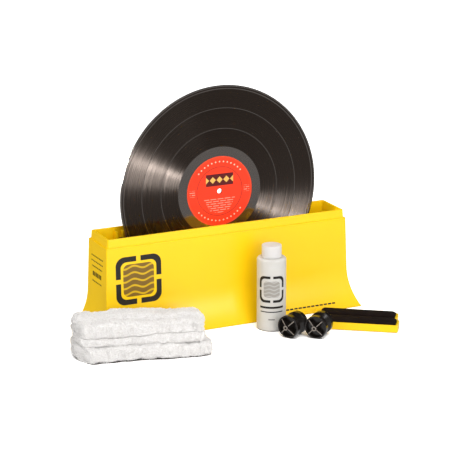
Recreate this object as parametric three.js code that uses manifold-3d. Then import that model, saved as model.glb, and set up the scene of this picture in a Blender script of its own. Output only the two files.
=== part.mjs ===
// Tub record washer: a basin with the record on two rollers between two brushes,
// and beside it spare rollers and brushes, a fluid bottle and two folded drying cloths.
// Millimetres, +Z up. The origin is the middle of the basin's footprint, on the table.
// X runs along the basin, and -Y is the side with the bottle and the cloths.

import * as THREE from 'three';
import { mergeVertices } from 'three/addons/utils/BufferGeometryUtils.js';
import Module from 'manifold-3d';

const wasm = await Module();
wasm.setup();

// Clearances shared by all the pieces
const seatGap = 0.3;
const cutOverrun = 6;
const weldDistance = 0.0005;

// Record, a 12 inch disc, with its two paper labels
const recordRadius = 150.8;
const recordHoleRadius = 3.6;
const grooveHalfThickness = 0.75;
const beadHalfThickness = 0.95;
const beadWidth = 4.2;
const beadSlope = 1.3;
const beadEdgeRound = 0.6;
const labelRadius = 50.2;
const labelThickness = 0.2;
const labelGap = 0.1;
const labelLandWidth = 2;
const labelLandSlope = 2.4;
const labelLandHalfThickness = 1.1;
const recordFloorRoom = 15.7;

// Other record sizes that the spare slots are for
const tenInchRadius = 127;
const sevenInchRadius = 87.5;
const spareRecordRise = 68.7;

// Rollers
const rollerLength = 29;
const flangeRadius = 16;
const flangeThickness = 8;
const waistRadius = 8;
const waistLength = 3.2;
const flangeRingWall = 2.2;
const endRecessDepth = 6;
const rollerEdgeRound = 0.6;
const stubRadius = 3.5;
const stubLength = 6;
const stubBoreRadius = 1.6;
const spokeThickness = 1.4;
const spokeTipDrop = 0.6;
const spokeRise = 2.8;
const spokeCount = 4;

// Brushes
const brushLength = 117;
const brushWidth = 26;
const holderThickness = 11;
const holderEdgeRound = 1.6;
const holderWall = 2.2;
const holderTab = 8;
const holderToe = 3;
const padPocketDepth = 1.2;
const padSideWall = 1.4;
const padCrown = 5;
const padShoulder = 1.6;
const padEndRound = 5;
const padRecordGap = 0.35;

// Basin
const tubWall = 3;
const tubDraft = 1.2;
const tubCornerRadius = 4;
const tubFloorRound = 4;
const floorThickness = 3;
const floorClearance = 13.7;
const brushTopDrop = 8;
const rollerTopDrop = 11.5;
const rollerEndRoom = 19.8;
const slotFaceGap = 3.4;
const slotRibDepth = 9.1;
const slotRibThickness = 2.4;
const slotSeatThickness = 4;
const slotSideGap = 0.3;
const slotTopDrop = 4.5;
const brushGuideReach = 7.8;
const brushGuideTopDrop = 20;
const brushStopSpread = 14;
const cornerRadius = 2.5;
const rimRound = 0.9;
const collarDraft = 0.6;
const ledgeDrop = 11.8;
const ledgeWidth = 2.5;
const ledgeRound = 0.8;
const bodyDraft = 3.7;
const flareHeight = 57;
const flareReach = 14.6;
const footRound = 1;
const skirtWall = 2.8;
const skirtTop = 66;
const skirtRibThickness = 2.6;
const skirtRibSpacing = 92;

// Bottle
const bottleRadius = 20.4;
const bottleShoulderHeight = 103.5;
const bottleShoulderRound = 3.4;
const bottleBaseRound = 3;
const bottleBaseDish = 1.4;
const bottleBaseRing = 4;
const bottleWall = 1.3;
const neckRadius = 11.5;
const neckHeight = 13.8;
const capRadius = 13.8;
const capRound = 1;
const capTopThickness = 1.8;
const capSkirtGap = 0.5;
const linerThickness = 1.2;
const linerSideGap = 0.5;

// Drying cloths
const clothLength = 182;
const clothWidth = 71;
const clothThickness = 22;
const clothUpperLength = 172;
const clothUpperWidth = 76;
const clothUpperThickness = 33;
const clothLayerDip = 2.4;
const clothWave = 1.3;
const clothWaves = 4.5;
const clothRuffles = 3.5;
const clothRestDepth = 0.5;
const clothSlumpShare = 0.16;

// Places of the loose pieces, from the middle of the basin and the front of its foot
const bottleAlong = 42;
const bottleStandOff = 8.2;
const rollerAAlong = 41;
const rollerAStandOff = 79.9;
const rollerATurn = 31.5;
const rollerBAlong = 74;
const rollerBStandOff = 98.9;
const rollerBTurn = 42;
const brushAAlong = 93.2;
const brushAStandOff = 59.4;
const brushTurn = -36;
const brushSideGap = 4.5;
const brushEndShift = 4;
const clothOutboard = 48.5;
const clothStandOff = 26.3;
const clothTurn = -13;
const clothUpperShift = 1.5;
const clothUpperSetBack = 8.5;

// How finely round things are drawn
const recordSegments = 64;
const labelSegments = 48;
const rollerSegments = 24;
const bottleSegments = 32;
const cornerSteps = 3;
const filletSteps = 3;
const flareSteps = 9;
const clothStations = 20;
const clothPoints = 24;

// Worked out from the sizes above
const footTop = floorClearance;
const floorTop = footTop + floorThickness;
const basinHeight = floorTop + seatGap + brushLength + brushTopDrop;
const recordCentreHeight = floorTop + recordFloorRoom + recordRadius;
const rollerCentreHeight = basinHeight - rollerTopDrop - flangeRadius;
const rollerDrop = recordCentreHeight - rollerCentreHeight;
const tubHalfWidth = rollerLength / 2 + slotFaceGap + slotRibDepth;
const tubHalfLength = rollerAcross(recordRadius, rollerDrop) + flangeRadius + rollerEndRoom;
const rimHalfWidth = tubHalfWidth + tubWall;
const rimHalfLength = tubHalfLength + tubWall;
const ledgeHeight = basinHeight - ledgeDrop;
const flareRadius = (flareHeight ** 2 + flareReach ** 2) / (2 * flareReach);
const footHalfWidth = rimHalfWidth + outerOffset(0);
const footHalfLength = rimHalfLength + outerOffset(0);
const brushThickness = holderThickness + padCrown;
const brushBackPlace = beadHalfThickness + padRecordGap + brushThickness;
const clothSlump = clothThickness * clothSlumpShare;
const bottleAway = -(footHalfWidth + bottleStandOff + bottleRadius);
const neckTop = bottleShoulderHeight + neckHeight;
const linerLow = neckTop + seatGap;
const capInsideTop = linerLow + linerThickness + seatGap;

// Distance along X from a record's centre to a roller that carries it, for a record of this
// radius whose centre stands so far above the rollers
function rollerAcross(radius, rise) {
  const centres = radius + seatGap + waistRadius;
  return Math.sqrt(centres ** 2 - rise ** 2);
}

// How far the basin's outside stands out from its rim at a height below the ledge
function outerOffset(height) {
  const draft = bodyDraft * (1 - height / ledgeHeight);
  const below = Math.max(flareHeight - height, 0);
  const flare = flareRadius - Math.sqrt(flareRadius ** 2 - below ** 2);
  return collarDraft + ledgeWidth + draft + flare;
}

// A welded closed mesh as a solid, without the slivers that a lathe leaves at its poles
function solidOf(geometry) {
  const bare = geometry.clone();
  bare.deleteAttribute('normal');
  bare.deleteAttribute('uv');
  const welded = mergeVertices(bare, weldDistance);
  const corners = [];
  for (let i = 0; i < welded.index.count; i += 3) {
    const triple = [0, 1, 2].map((k) => welded.index.getX(i + k));
    if (new Set(triple).size === 3) corners.push(...triple);
  }
  const vertProperties = new Float32Array(welded.attributes.position.array);
  const triVerts = new Uint32Array(corners);
  return new wasm.Manifold(new wasm.Mesh({ numProp: 3, vertProperties, triVerts }));
}

function geometryOf(solid) {
  const mesh = solid.getMesh();
  const geometry = new THREE.BufferGeometry();
  geometry.setAttribute('position', new THREE.BufferAttribute(mesh.vertProperties, 3));
  geometry.setIndex(new THREE.BufferAttribute(mesh.triVerts, 1));
  geometry.computeVertexNormals();
  return geometry;
}

function boxBetween(low, high) {
  const size = new THREE.Vector3().subVectors(high, low);
  const centre = new THREE.Vector3().addVectors(low, high).divideScalar(2);
  const geometry = new THREE.BoxGeometry(size.x, size.y, size.z);
  return solidOf(geometry.translate(centre.x, centre.y, centre.z));
}

// Skin over a list of rings of points, the first and last ring closed by a fan
function loft(rings) {
  const count = rings[0].length;
  const positions = rings.flat().flatMap((point) => point.toArray());
  const index = [];
  for (let r = 0; r + 1 < rings.length; r += 1) {
    for (let i = 0; i < count; i += 1) {
      const next = (i + 1) % count;
      const a = r * count + i;
      const b = r * count + next;
      const c = (r + 1) * count + next;
      const d = (r + 1) * count + i;
      index.push(a, b, c, a, c, d);
    }
  }
  const ends = [rings[0], rings[rings.length - 1]];
  ends.forEach((ring, end) => {
    const centre = new THREE.Vector3();
    ring.forEach((point) => centre.add(point));
    centre.divideScalar(count);
    const middle = positions.length / 3;
    positions.push(...centre.toArray());
    const first = end === 0 ? 0 : (rings.length - 1) * count;
    for (let i = 0; i < count; i += 1) {
      const next = (i + 1) % count;
      if (end === 0) index.push(middle, first + next, first + i);
      else index.push(middle, first + i, first + next);
    }
  });
  const geometry = new THREE.BufferGeometry();
  geometry.setAttribute('position', new THREE.Float32BufferAttribute(positions, 3));
  geometry.setIndex(index);
  geometry.computeVertexNormals();
  return geometry;
}

// A level rounded rectangle, anticlockwise from above
function roundedRing(halfLength, halfWidth, radius, height) {
  const ring = [];
  const corners = [[1, 1], [-1, 1], [-1, -1], [1, -1]];
  corners.forEach(([sideX, sideY], quarter) => {
    for (let i = 0; i <= cornerSteps; i += 1) {
      const angle = (quarter + i / cornerSteps) * Math.PI / 2;
      const x = sideX * (halfLength - radius) + radius * Math.cos(angle);
      const y = sideY * (halfWidth - radius) + radius * Math.sin(angle);
      ring.push(new THREE.Vector3(x, y, height));
    }
  });
  return ring;
}

// Points of a quarter turn, as pairs of [across, up]
function fillet(across, up, radius, startQuarter, direction = 1) {
  return Array.from({ length: filletSteps + 1 }, (_, i) => {
    const angle = (startQuarter + direction * i / filletSteps) * Math.PI / 2;
    return [across + radius * Math.cos(angle), up + radius * Math.sin(angle)];
  });
}

function shellFrom(profile, radius) {
  const rings = profile.map(([offset, height]) =>
    roundedRing(rimHalfLength + offset, rimHalfWidth + offset, radius, height));
  return solidOf(loft(rings));
}

// Outline points turned about the Z axis, closed on the axis or on themselves
function turnedUpright(points, segments) {
  const profile = points.map(([radius, height]) => new THREE.Vector2(radius, height));
  const geometry = new THREE.LatheGeometry(profile, segments);
  return solidOf(geometry.rotateX(Math.PI / 2));
}

// Outline points turned about the Y axis
function turnedLevel(points, segments) {
  const profile = points.map(([radius, along]) => new THREE.Vector2(radius, along));
  return solidOf(new THREE.LatheGeometry(profile, segments));
}

// The outside of the basin: foot, flare, drafted body, ledge for the lid, collar and rim
function basinOutside() {
  const foot = outerOffset(0);
  const profile = fillet(foot - footRound, footRound, footRound, -1);
  for (let i = 1; i <= flareSteps; i += 1) {
    const height = footRound + (flareHeight - footRound) * i / flareSteps;
    profile.push([outerOffset(height), height]);
  }
  const body = outerOffset(ledgeHeight);
  profile.push(...fillet(body - ledgeRound, ledgeHeight - ledgeRound, ledgeRound, 0));
  profile.push([collarDraft, ledgeHeight]);
  profile.push(...fillet(-rimRound, basinHeight - rimRound, rimRound, 0));
  return shellFrom(profile, cornerRadius);
}

function basinCavity() {
  const low = -tubWall - tubDraft;
  const profile = fillet(low - tubFloorRound, floorTop + tubFloorRound, tubFloorRound, -1);
  profile.push([-tubWall, basinHeight - rimRound]);
  const lip = fillet(rimRound - tubWall, basinHeight - rimRound, rimRound, 2, -1);
  profile.push(...lip.slice(1));
  profile.push([rimRound - tubWall, basinHeight + cutOverrun]);
  return shellFrom(profile, tubCornerRadius);
}

// The open space under the basin, between its foot and its tub, with the ribs left in
function underSpace() {
  const profile = [[outerOffset(0) - skirtWall, -cutOverrun]];
  for (let i = 0; i <= flareSteps; i += 1) {
    const height = flareHeight * i / flareSteps;
    profile.push([outerOffset(height) - skirtWall, height]);
  }
  profile.push([outerOffset(skirtTop) - skirtWall, skirtTop]);
  const space = shellFrom(profile, cornerRadius);
  const tub = [[-tubDraft, footTop], [-tubDraft, skirtTop + cutOverrun]];
  const ribs = [];
  const long = new THREE.Vector3(footHalfLength, skirtRibThickness / 2, skirtTop + cutOverrun);
  ribs.push(boxBetween(new THREE.Vector3(-long.x, -long.y, 0), long));
  const ribPairs = Math.floor((rimHalfLength - tubWall) / skirtRibSpacing);
  for (let i = -ribPairs; i <= ribPairs; i += 1) {
    const middle = i * skirtRibSpacing;
    const low = new THREE.Vector3(middle - skirtRibThickness / 2, -footHalfWidth, 0);
    const high = new THREE.Vector3(middle + skirtRibThickness / 2, footHalfWidth, long.z);
    ribs.push(boxBetween(low, high));
  }
  const kept = ribs.reduce((sum, rib) => sum.add(rib), shellFrom(tub, tubCornerRadius));
  return space.subtract(kept);
}

// One roller slot on the wall at side +1 or -1: two upright ribs and a seat for the stub
function rollerSlot(across, side) {
  const halfSlot = stubRadius + slotSideGap;
  const halfBlock = halfSlot + slotRibThickness;
  const inner = tubHalfWidth - slotRibDepth;
  const outer = tubHalfWidth + tubWall / 2;
  const seatTop = rollerCentreHeight;
  const seatLow = rollerCentreHeight - stubRadius - seatGap - slotSeatThickness;
  const ribTop = basinHeight - slotTopDrop;
  const spanY = side > 0 ? [inner, outer] : [-outer, -inner];
  const block = (lowX, highX, lowZ, highZ) => boxBetween(
    new THREE.Vector3(across + lowX, spanY[0], lowZ),
    new THREE.Vector3(across + highX, spanY[1], highZ),
  );
  const ribs = block(-halfBlock, -halfSlot, floorTop - floorThickness / 2, ribTop)
    .add(block(halfSlot, halfBlock, floorTop - floorThickness / 2, ribTop));
  const bore = stubRadius + seatGap;
  const seatCut = solidOf(new THREE.CylinderGeometry(bore, bore, 2 * outer + cutOverrun, rollerSegments)
    .translate(across, 0, rollerCentreHeight));
  return ribs.add(block(-halfSlot, halfSlot, seatLow, seatTop).subtract(seatCut));
}

// Guides beside a brush and stops behind it, on the wall at side +1 or -1
function brushChannel(side) {
  const low = floorTop - floorThickness / 2;
  const high = basinHeight - brushGuideTopDrop;
  const outer = tubHalfWidth + tubWall / 2;
  const guideIn = brushWidth / 2 + seatGap;
  const stopFace = brushBackPlace + seatGap;
  const block = (lowX, highX, nearY) => {
    const spanY = side > 0 ? [nearY, outer] : [-outer, -nearY];
    const from = new THREE.Vector3(lowX, spanY[0], low);
    return boxBetween(from, new THREE.Vector3(highX, spanY[1], high));
  };
  const stopHalf = slotRibThickness / 2;
  const stopPlace = brushStopSpread / 2;
  return block(guideIn, guideIn + slotRibThickness, brushGuideReach)
    .add(block(-guideIn - slotRibThickness, -guideIn, brushGuideReach))
    .add(block(stopPlace - stopHalf, stopPlace + stopHalf, stopFace))
    .add(block(-stopPlace - stopHalf, stopHalf - stopPlace, stopFace));
}

function makeBasin() {
  let solid = basinOutside().subtract(basinCavity()).subtract(underSpace());
  const slots = [
    rollerAcross(recordRadius, rollerDrop),
    rollerAcross(tenInchRadius, spareRecordRise),
    rollerAcross(sevenInchRadius, spareRecordRise),
  ];
  for (const side of [1, -1]) {
    for (const across of slots) {
      solid = solid.add(rollerSlot(across, side));
      solid = solid.add(rollerSlot(-across, side));
    }
    solid = solid.add(brushChannel(side));
  }
  return solid;
}

// Disc with a raised label land and a rim bead, turned about the Y axis
function makeRecord() {
  const recess = labelLandHalfThickness - labelThickness - labelGap;
  const landInner = labelRadius + seatGap;
  const landOuter = landInner + labelLandWidth;
  const face = [
    [recordHoleRadius, recess],
    [landInner, recess],
    [landInner, labelLandHalfThickness],
    [landOuter, labelLandHalfThickness],
    [landOuter + labelLandSlope, grooveHalfThickness],
    [recordRadius - beadWidth - beadSlope, grooveHalfThickness],
    [recordRadius - beadWidth, beadHalfThickness],
    [recordRadius - beadEdgeRound, beadHalfThickness],
    [recordRadius, beadHalfThickness - beadEdgeRound],
  ];
  const back = face.map(([radius, half]) => [radius, -half]);
  return turnedLevel([...back, ...face.reverse(), back[0]], recordSegments);
}

function makeLabel(side) {
  const outer = labelLandHalfThickness;
  const inner = outer - labelThickness;
  const spans = side > 0 ? [inner, outer] : [-outer, -inner];
  const hole = recordHoleRadius;
  const outline = [
    [hole, spans[0]],
    [labelRadius, spans[0]],
    [labelRadius, spans[1]],
    [hole, spans[1]],
    [hole, spans[0]],
  ];
  return turnedLevel(outline, labelSegments);
}

// Spool with cupped ends, a bored stub at each end and gusset spokes, along the Y axis
function makeRoller() {
  const half = rollerLength / 2;
  const recess = half - endRecessDepth;
  const ring = flangeRadius - flangeRingWall;
  const grooveEdge = half - flangeThickness;
  const end = [
    [stubBoreRadius, half + stubLength],
    [stubRadius - rollerEdgeRound, half + stubLength],
    [stubRadius, half + stubLength - rollerEdgeRound],
    [stubRadius, recess],
    [ring, recess],
    [ring, half],
    [flangeRadius - rollerEdgeRound, half],
    [flangeRadius, half - rollerEdgeRound],
    [flangeRadius, grooveEdge],
    [waistRadius, waistLength / 2],
  ];
  const mirrored = end.map(([radius, along]) => [radius, -along]);
  const outline = [...mirrored, ...end.reverse(), mirrored[0]];
  let roller = turnedLevel(outline, rollerSegments);
  const inside = (stubBoreRadius + stubRadius) / 2;
  const gusset = new THREE.Shape([
    new THREE.Vector2(inside, recess - rollerEdgeRound),
    new THREE.Vector2(ring + flangeRingWall / 2, recess - rollerEdgeRound),
    new THREE.Vector2(ring + flangeRingWall / 2, half - spokeTipDrop),
    new THREE.Vector2(inside, half + spokeRise),
  ]);
  for (let i = 0; i < spokeCount; i += 1) {
    const plate = new THREE.ExtrudeGeometry(gusset, { depth: spokeThickness, bevelEnabled: false });
    plate.translate(0, 0, -spokeThickness / 2);
    plate.rotateY((i + 0.5) * 2 * Math.PI / spokeCount);
    const spoke = solidOf(plate);
    roller = roller.add(spoke).add(spoke.mirror([0, 1, 0]));
  }
  return roller;
}

// Bar of a brush: X from its tab end, Y across, Z from its back, with a pocket for the pad
function makeHolder() {
  const round = holderEdgeRound;
  const rows = [
    ...fillet(-round, round, round, -1),
    ...fillet(-round, holderThickness - round, round, 0),
  ];
  const rings = rows.map(([offset, height]) => roundedRing(
    brushLength / 2 + offset,
    brushWidth / 2 + offset,
    round,
    height,
  ));
  const bar = solidOf(loft(rings)).translate([brushLength / 2, 0, 0]);
  const pocketHalf = brushWidth / 2 - padSideWall;
  const pocket = boxBetween(
    new THREE.Vector3(holderTab, -pocketHalf, holderThickness - padPocketDepth),
    new THREE.Vector3(brushLength - holderToe, pocketHalf, holderThickness + cutOverrun),
  );
  const webTop = holderThickness - padPocketDepth - holderWall;
  const coreHalf = brushWidth / 2 - holderWall;
  const core = boxBetween(
    new THREE.Vector3(holderWall, -coreHalf, -cutOverrun),
    new THREE.Vector3((brushLength - holderWall) / 2, coreHalf, webTop),
  );
  const farCore = boxBetween(
    new THREE.Vector3((brushLength + holderWall) / 2, -coreHalf, -cutOverrun),
    new THREE.Vector3(brushLength - holderWall, coreHalf, webTop),
  );
  return bar.subtract(pocket).subtract(core).subtract(farCore);
}

// Crowned pad in the holder's pocket, its sides and ends rounded down
function makePad() {
  const from = holderTab + seatGap;
  const to = brushLength - holderToe - seatGap;
  const half = brushWidth / 2 - padSideWall - seatGap;
  const base = holderThickness - padPocketDepth + seatGap;
  const side = holderThickness + padShoulder;
  const crown = padCrown - padShoulder;
  const stations = [];
  for (let i = 0; i <= filletSteps; i += 1) {
    stations.push(1 - Math.cos(i / filletSteps * Math.PI / 2));
  }
  const section = (x, rise, inset) => {
    const ring = [new THREE.Vector3(x, half - inset, base)];
    for (let i = 0; i <= 2 * filletSteps; i += 1) {
      const angle = i / filletSteps * Math.PI / 2;
      const y = (half - inset) * Math.cos(angle);
      ring.push(new THREE.Vector3(x, y, side + crown * rise * Math.sin(angle)));
    }
    ring.push(new THREE.Vector3(x, inset - half, base));
    return ring;
  };
  const near = stations.map((share) => {
    const rise = Math.sqrt(1 - (1 - share) ** 2);
    return [from + padEndRound * share, rise, padEndRound * (1 - rise) / 2];
  });
  const far = [...near].reverse().map(([x, rise, inset]) => [from + to - x, rise, inset]);
  const rings = [...near, ...far].map(([x, rise, inset]) => section(x, rise, inset));
  return solidOf(loft(rings));
}

function makeBottle() {
  const shoulder = fillet(
    bottleRadius - bottleShoulderRound,
    bottleShoulderHeight - bottleShoulderRound,
    bottleShoulderRound,
    0,
  );
  const foot = fillet(bottleRadius - bottleBaseRound, bottleBaseRound, bottleBaseRound, -1);
  const dish = bottleRadius - bottleBaseRound - bottleBaseRing;
  const innerRound = bottleShoulderRound - bottleWall;
  const innerShoulder = fillet(
    bottleRadius - bottleShoulderRound,
    bottleShoulderHeight - bottleShoulderRound,
    innerRound,
    0,
  ).reverse();
  const bore = neckRadius - bottleWall;
  return turnedUpright([
    [0, bottleBaseDish],
    [dish, bottleBaseDish],
    [dish + bottleBaseDish, 0],
    ...foot,
    ...shoulder,
    [neckRadius, bottleShoulderHeight],
    [neckRadius, neckTop],
    [bore, neckTop],
    [bore, bottleShoulderHeight - bottleWall],
    ...innerShoulder,
    [bottleRadius - bottleWall, bottleBaseRound],
    [bottleRadius - bottleBaseRound, bottleBaseDish + bottleWall],
    [0, bottleBaseDish + bottleWall],
  ], bottleSegments);
}

// The washing fluid, clear of the bottle by the seat gap all round
function makeFluid() {
  const wet = bottleRadius - bottleWall - seatGap;
  const low = bottleBaseDish + bottleWall + seatGap;
  const high = bottleShoulderHeight - bottleWall - seatGap;
  const neck = neckRadius - bottleWall - seatGap;
  const round = bottleShoulderRound - bottleWall;
  return turnedUpright([
    [0, low],
    [wet - bottleBaseRound, low],
    [wet, low + bottleBaseRound],
    [wet, high - round],
    [wet - round, high],
    [neck, high],
    [neck, neckTop - seatGap],
    [0, neckTop - seatGap],
  ], bottleSegments);
}

function makeCap() {
  const low = bottleShoulderHeight + seatGap;
  const top = capInsideTop + capTopThickness;
  const inside = neckRadius + capSkirtGap;
  return turnedUpright([
    [0, capInsideTop],
    [inside, capInsideTop],
    [inside, low],
    [capRadius, low],
    ...fillet(capRadius - capRound, top - capRound, capRound, 0),
    [0, top],
  ], bottleSegments);
}

function makeLiner() {
  const radius = neckRadius + capSkirtGap - linerSideGap;
  const top = linerLow + linerThickness;
  return turnedUpright([[0, linerLow], [radius, linerLow], [radius, top], [0, top]], bottleSegments);
}

// Folded cloth: a soft section in YZ, swept along X, that thins towards its far end,
// with the fold between its two layers as a dip along its sides
function makeCloth(length, width, thickness, phase) {
  const endRoundShare = 0.11;
  const endWidthShare = 0.62;
  const endHeightShare = 0.45;
  const plumpShare = 0.34;
  const section = (t) => {
    const fromEnd = Math.min(t, 1 - t) / endRoundShare;
    const full = fromEnd >= 1 ? 1 : Math.sqrt(1 - (1 - fromEnd) ** 2);
    const spread = endWidthShare + (1 - endWidthShare) * full;
    const slumped = thickness * (1 - clothSlumpShare * t);
    const height = slumped * (endHeightShare + (1 - endHeightShare) * full);
    const lift = (slumped - height) / 2 - clothRestDepth;
    const ring = [];
    for (let i = 0; i < clothPoints; i += 1) {
      const angle = i / clothPoints * 2 * Math.PI;
      const cos = Math.cos(angle);
      const sin = Math.sin(angle);
      const fold = clothLayerDip * (1 + Math.cos(2 * Math.PI * sin)) / 2 * Math.abs(cos) ** 3;
      const wave = clothWave * full * Math.sin(2 * Math.PI * clothWaves * t + phase + 2 * angle);
      const half = width / 2 * spread - clothWave - fold + wave;
      const y = Math.sign(cos) * Math.abs(cos) ** plumpShare * half;
      const z = (1 + Math.sign(sin) * Math.abs(sin) ** plumpShare) * height / 2;
      const swell = Math.sin(2 * Math.PI * clothRuffles * t + phase);
      const ruffle = clothWave * full * Math.max(sin, 0) * Math.abs(swell);
      ring.push(new THREE.Vector3(length * t, y, lift + z - ruffle));
    }
    return ring;
  };
  const rings = [];
  for (let i = 0; i <= clothStations; i += 1) {
    rings.push(section((1 - Math.cos(i / clothStations * Math.PI)) / 2));
  }
  const table = new THREE.Vector3(length + cutOverrun, width, 0);
  const under = boxBetween(new THREE.Vector3(-cutOverrun, -width, -thickness), table);
  return solidOf(loft(rings)).subtract(under);
}

// Finishes of the pieces as photographed
const finishes = {
  yellowPlastic: { color: 0xfdd52a, roughness: 0.3, metalness: 0 },
  vinyl: { color: 0x16130f, roughness: 0.25, metalness: 0 },
  paperRed: { color: 0xf5402e, roughness: 0.6, metalness: 0 },
  blackPlastic: { color: 0x1b1817, roughness: 0.4, metalness: 0 },
  padVelvet: { color: 0x141212, roughness: 0.95, metalness: 0 },
  frostedPlastic: { color: 0xe7e4e0, roughness: 0.45, metalness: 0 },
  whitePlastic: { color: 0xf4f2f0, roughness: 0.35, metalness: 0 },
  linerFoam: { color: 0xeeeae2, roughness: 0.9, metalness: 0 },
  fluid: { color: 0xf1eee6, roughness: 0.1, metalness: 0 },
  terry: { color: 0xf1eeec, roughness: 1, metalness: 0 },
};

function piece(name, solid, finish) {
  const mesh = new THREE.Mesh(geometryOf(solid), new THREE.MeshStandardMaterial(finishes[finish]));
  mesh.name = name;
  return mesh;
}

function groupAt(x, y, z, turnDegrees, ...children) {
  const group = new THREE.Group();
  group.position.set(x, y, z);
  group.rotation.z = THREE.MathUtils.degToRad(turnDegrees);
  group.add(...children);
  return group;
}

function brushPieces(name) {
  return [
    piece(`${name}_holder`, makeHolder(), 'yellowPlastic'),
    piece(`${name}_pad`, makePad(), 'padVelvet'),
  ];
}

// A brush standing in its channel, tab up, with its pad facing the record
function standingBrush(name, side) {
  const group = new THREE.Group();
  const down = new THREE.Vector3(0, 0, -1);
  const acrossX = new THREE.Vector3(side, 0, 0);
  const facing = new THREE.Vector3(0, -side, 0);
  group.setRotationFromMatrix(new THREE.Matrix4().makeBasis(down, acrossX, facing));
  group.position.set(0, side * brushBackPlace, floorTop + seatGap + brushLength);
  group.add(...brushPieces(name));
  return group;
}

const washer = new THREE.Group();
washer.add(piece('basin', makeBasin(), 'yellowPlastic'));

washer.add(groupAt(
  0, 0, recordCentreHeight, 0,
  piece('record_disc', makeRecord(), 'vinyl'),
  piece('record_label_front', makeLabel(-1), 'paperRed'),
  piece('record_label_back', makeLabel(1), 'paperRed'),
));

const rollerX = rollerAcross(recordRadius, rollerDrop);
washer.add(groupAt(-rollerX, 0, rollerCentreHeight, 0, piece('roller_left', makeRoller(), 'blackPlastic')));
washer.add(groupAt(rollerX, 0, rollerCentreHeight, 0, piece('roller_right', makeRoller(), 'blackPlastic')));

washer.add(standingBrush('brush_front', -1));
washer.add(standingBrush('brush_back', 1));

// A loose roller lies on its flanges; its place is the middle of its nearer end
function looseRoller(name, along, standOff, turn) {
  const angle = THREE.MathUtils.degToRad(turn);
  const x = along + Math.cos(angle) * rollerLength / 2;
  const y = -footHalfWidth - standOff + Math.sin(angle) * rollerLength / 2;
  return groupAt(x, y, flangeRadius, turn - 90, piece(name, makeRoller(), 'blackPlastic'));
}

washer.add(looseRoller('roller_loose_a', rollerAAlong, rollerAStandOff, rollerATurn));
washer.add(looseRoller('roller_loose_b', rollerBAlong, rollerBStandOff, rollerBTurn));

// Loose brushes lie side by side on their backs, the second one shifted a little to its tab
const brushAngle = THREE.MathUtils.degToRad(brushTurn);
const brushWay = new THREE.Vector2(Math.cos(brushAngle), Math.sin(brushAngle));
const brushAcross = new THREE.Vector2(-brushWay.y, brushWay.x);
const brushFirst = new THREE.Vector2(brushAAlong, -footHalfWidth - brushAStandOff)
  .addScaledVector(brushAcross, brushWidth / 2);
const brushSecond = brushFirst.clone()
  .addScaledVector(brushAcross, brushWidth + brushSideGap)
  .addScaledVector(brushWay, -brushEndShift);
washer.add(groupAt(brushFirst.x, brushFirst.y, 0, brushTurn, ...brushPieces('brush_loose_a')));
washer.add(groupAt(brushSecond.x, brushSecond.y, 0, brushTurn, ...brushPieces('brush_loose_b')));

washer.add(groupAt(
  bottleAlong, bottleAway, 0, 0,
  piece('bottle_body', makeBottle(), 'frostedPlastic'),
  piece('bottle_fluid', makeFluid(), 'fluid'),
  piece('bottle_cap', makeCap(), 'whitePlastic'),
  piece('bottle_cap_liner', makeLiner(), 'linerFoam'),
));

// The cloths lie one on the other; the upper one follows the slope of the lower one's top
const clothAngle = THREE.MathUtils.degToRad(clothTurn);
const clothWay = new THREE.Vector2(Math.cos(clothAngle), Math.sin(clothAngle));
const clothAcross = new THREE.Vector2(-clothWay.y, clothWay.x);
const clothEnd = new THREE.Vector2(-footHalfLength - clothOutboard, -footHalfWidth - clothStandOff);
const clothUpperEnd = clothEnd.clone()
  .addScaledVector(clothWay, clothUpperShift)
  .addScaledVector(clothAcross, clothUpperSetBack);
const clothTop = clothThickness - clothRestDepth - clothUpperShift * clothSlump / clothLength;
const phaseUpper = 1.7;
washer.add(groupAt(clothEnd.x, clothEnd.y, 0, clothTurn,
  piece('cloth_lower', makeCloth(clothLength, clothWidth, clothThickness, 0), 'terry')));
const upperCloth = new THREE.Group();
upperCloth.rotation.y = Math.atan2(clothSlump, clothLength);
upperCloth.add(piece(
  'cloth_upper',
  makeCloth(clothUpperLength, clothUpperWidth, clothUpperThickness, phaseUpper),
  'terry',
));
washer.add(groupAt(clothUpperEnd.x, clothUpperEnd.y, clothTop + seatGap, clothTurn, upperCloth));

export default washer;
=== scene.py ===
# Tub record washer with its kit: a yellow basin with a record on grooved rollers between two brushes,
# and beside it spare rollers and brushes, a bottle of washing fluid and two folded drying cloths.
import math

import bmesh
import bpy
from mathutils import Euler, Matrix, Vector, noise
from mathutils.bvhtree import BVHTree


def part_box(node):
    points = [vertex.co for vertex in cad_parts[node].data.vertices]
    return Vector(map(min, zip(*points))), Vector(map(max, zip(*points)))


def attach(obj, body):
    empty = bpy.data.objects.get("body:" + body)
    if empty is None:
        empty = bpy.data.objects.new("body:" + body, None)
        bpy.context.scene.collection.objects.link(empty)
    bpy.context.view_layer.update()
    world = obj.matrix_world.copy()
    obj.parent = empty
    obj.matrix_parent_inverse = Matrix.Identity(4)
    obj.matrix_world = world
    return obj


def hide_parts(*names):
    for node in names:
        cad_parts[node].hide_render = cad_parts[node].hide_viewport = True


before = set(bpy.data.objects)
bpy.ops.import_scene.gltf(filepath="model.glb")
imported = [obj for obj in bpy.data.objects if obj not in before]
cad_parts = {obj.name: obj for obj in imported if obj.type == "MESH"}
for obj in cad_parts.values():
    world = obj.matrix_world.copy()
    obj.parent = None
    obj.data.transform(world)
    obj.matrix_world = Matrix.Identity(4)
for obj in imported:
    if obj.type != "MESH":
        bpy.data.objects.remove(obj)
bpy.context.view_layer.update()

mm = 0.001
print("frame loaded:", len(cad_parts), "nodes")

# Camera, floor and light

camera = {
    "place": (-1231.6, -2560.5, 938.1),
    "down": 15.81,
    "turn": 25.85,
    "lens": 168,
    "sensor": 36,
}

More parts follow.
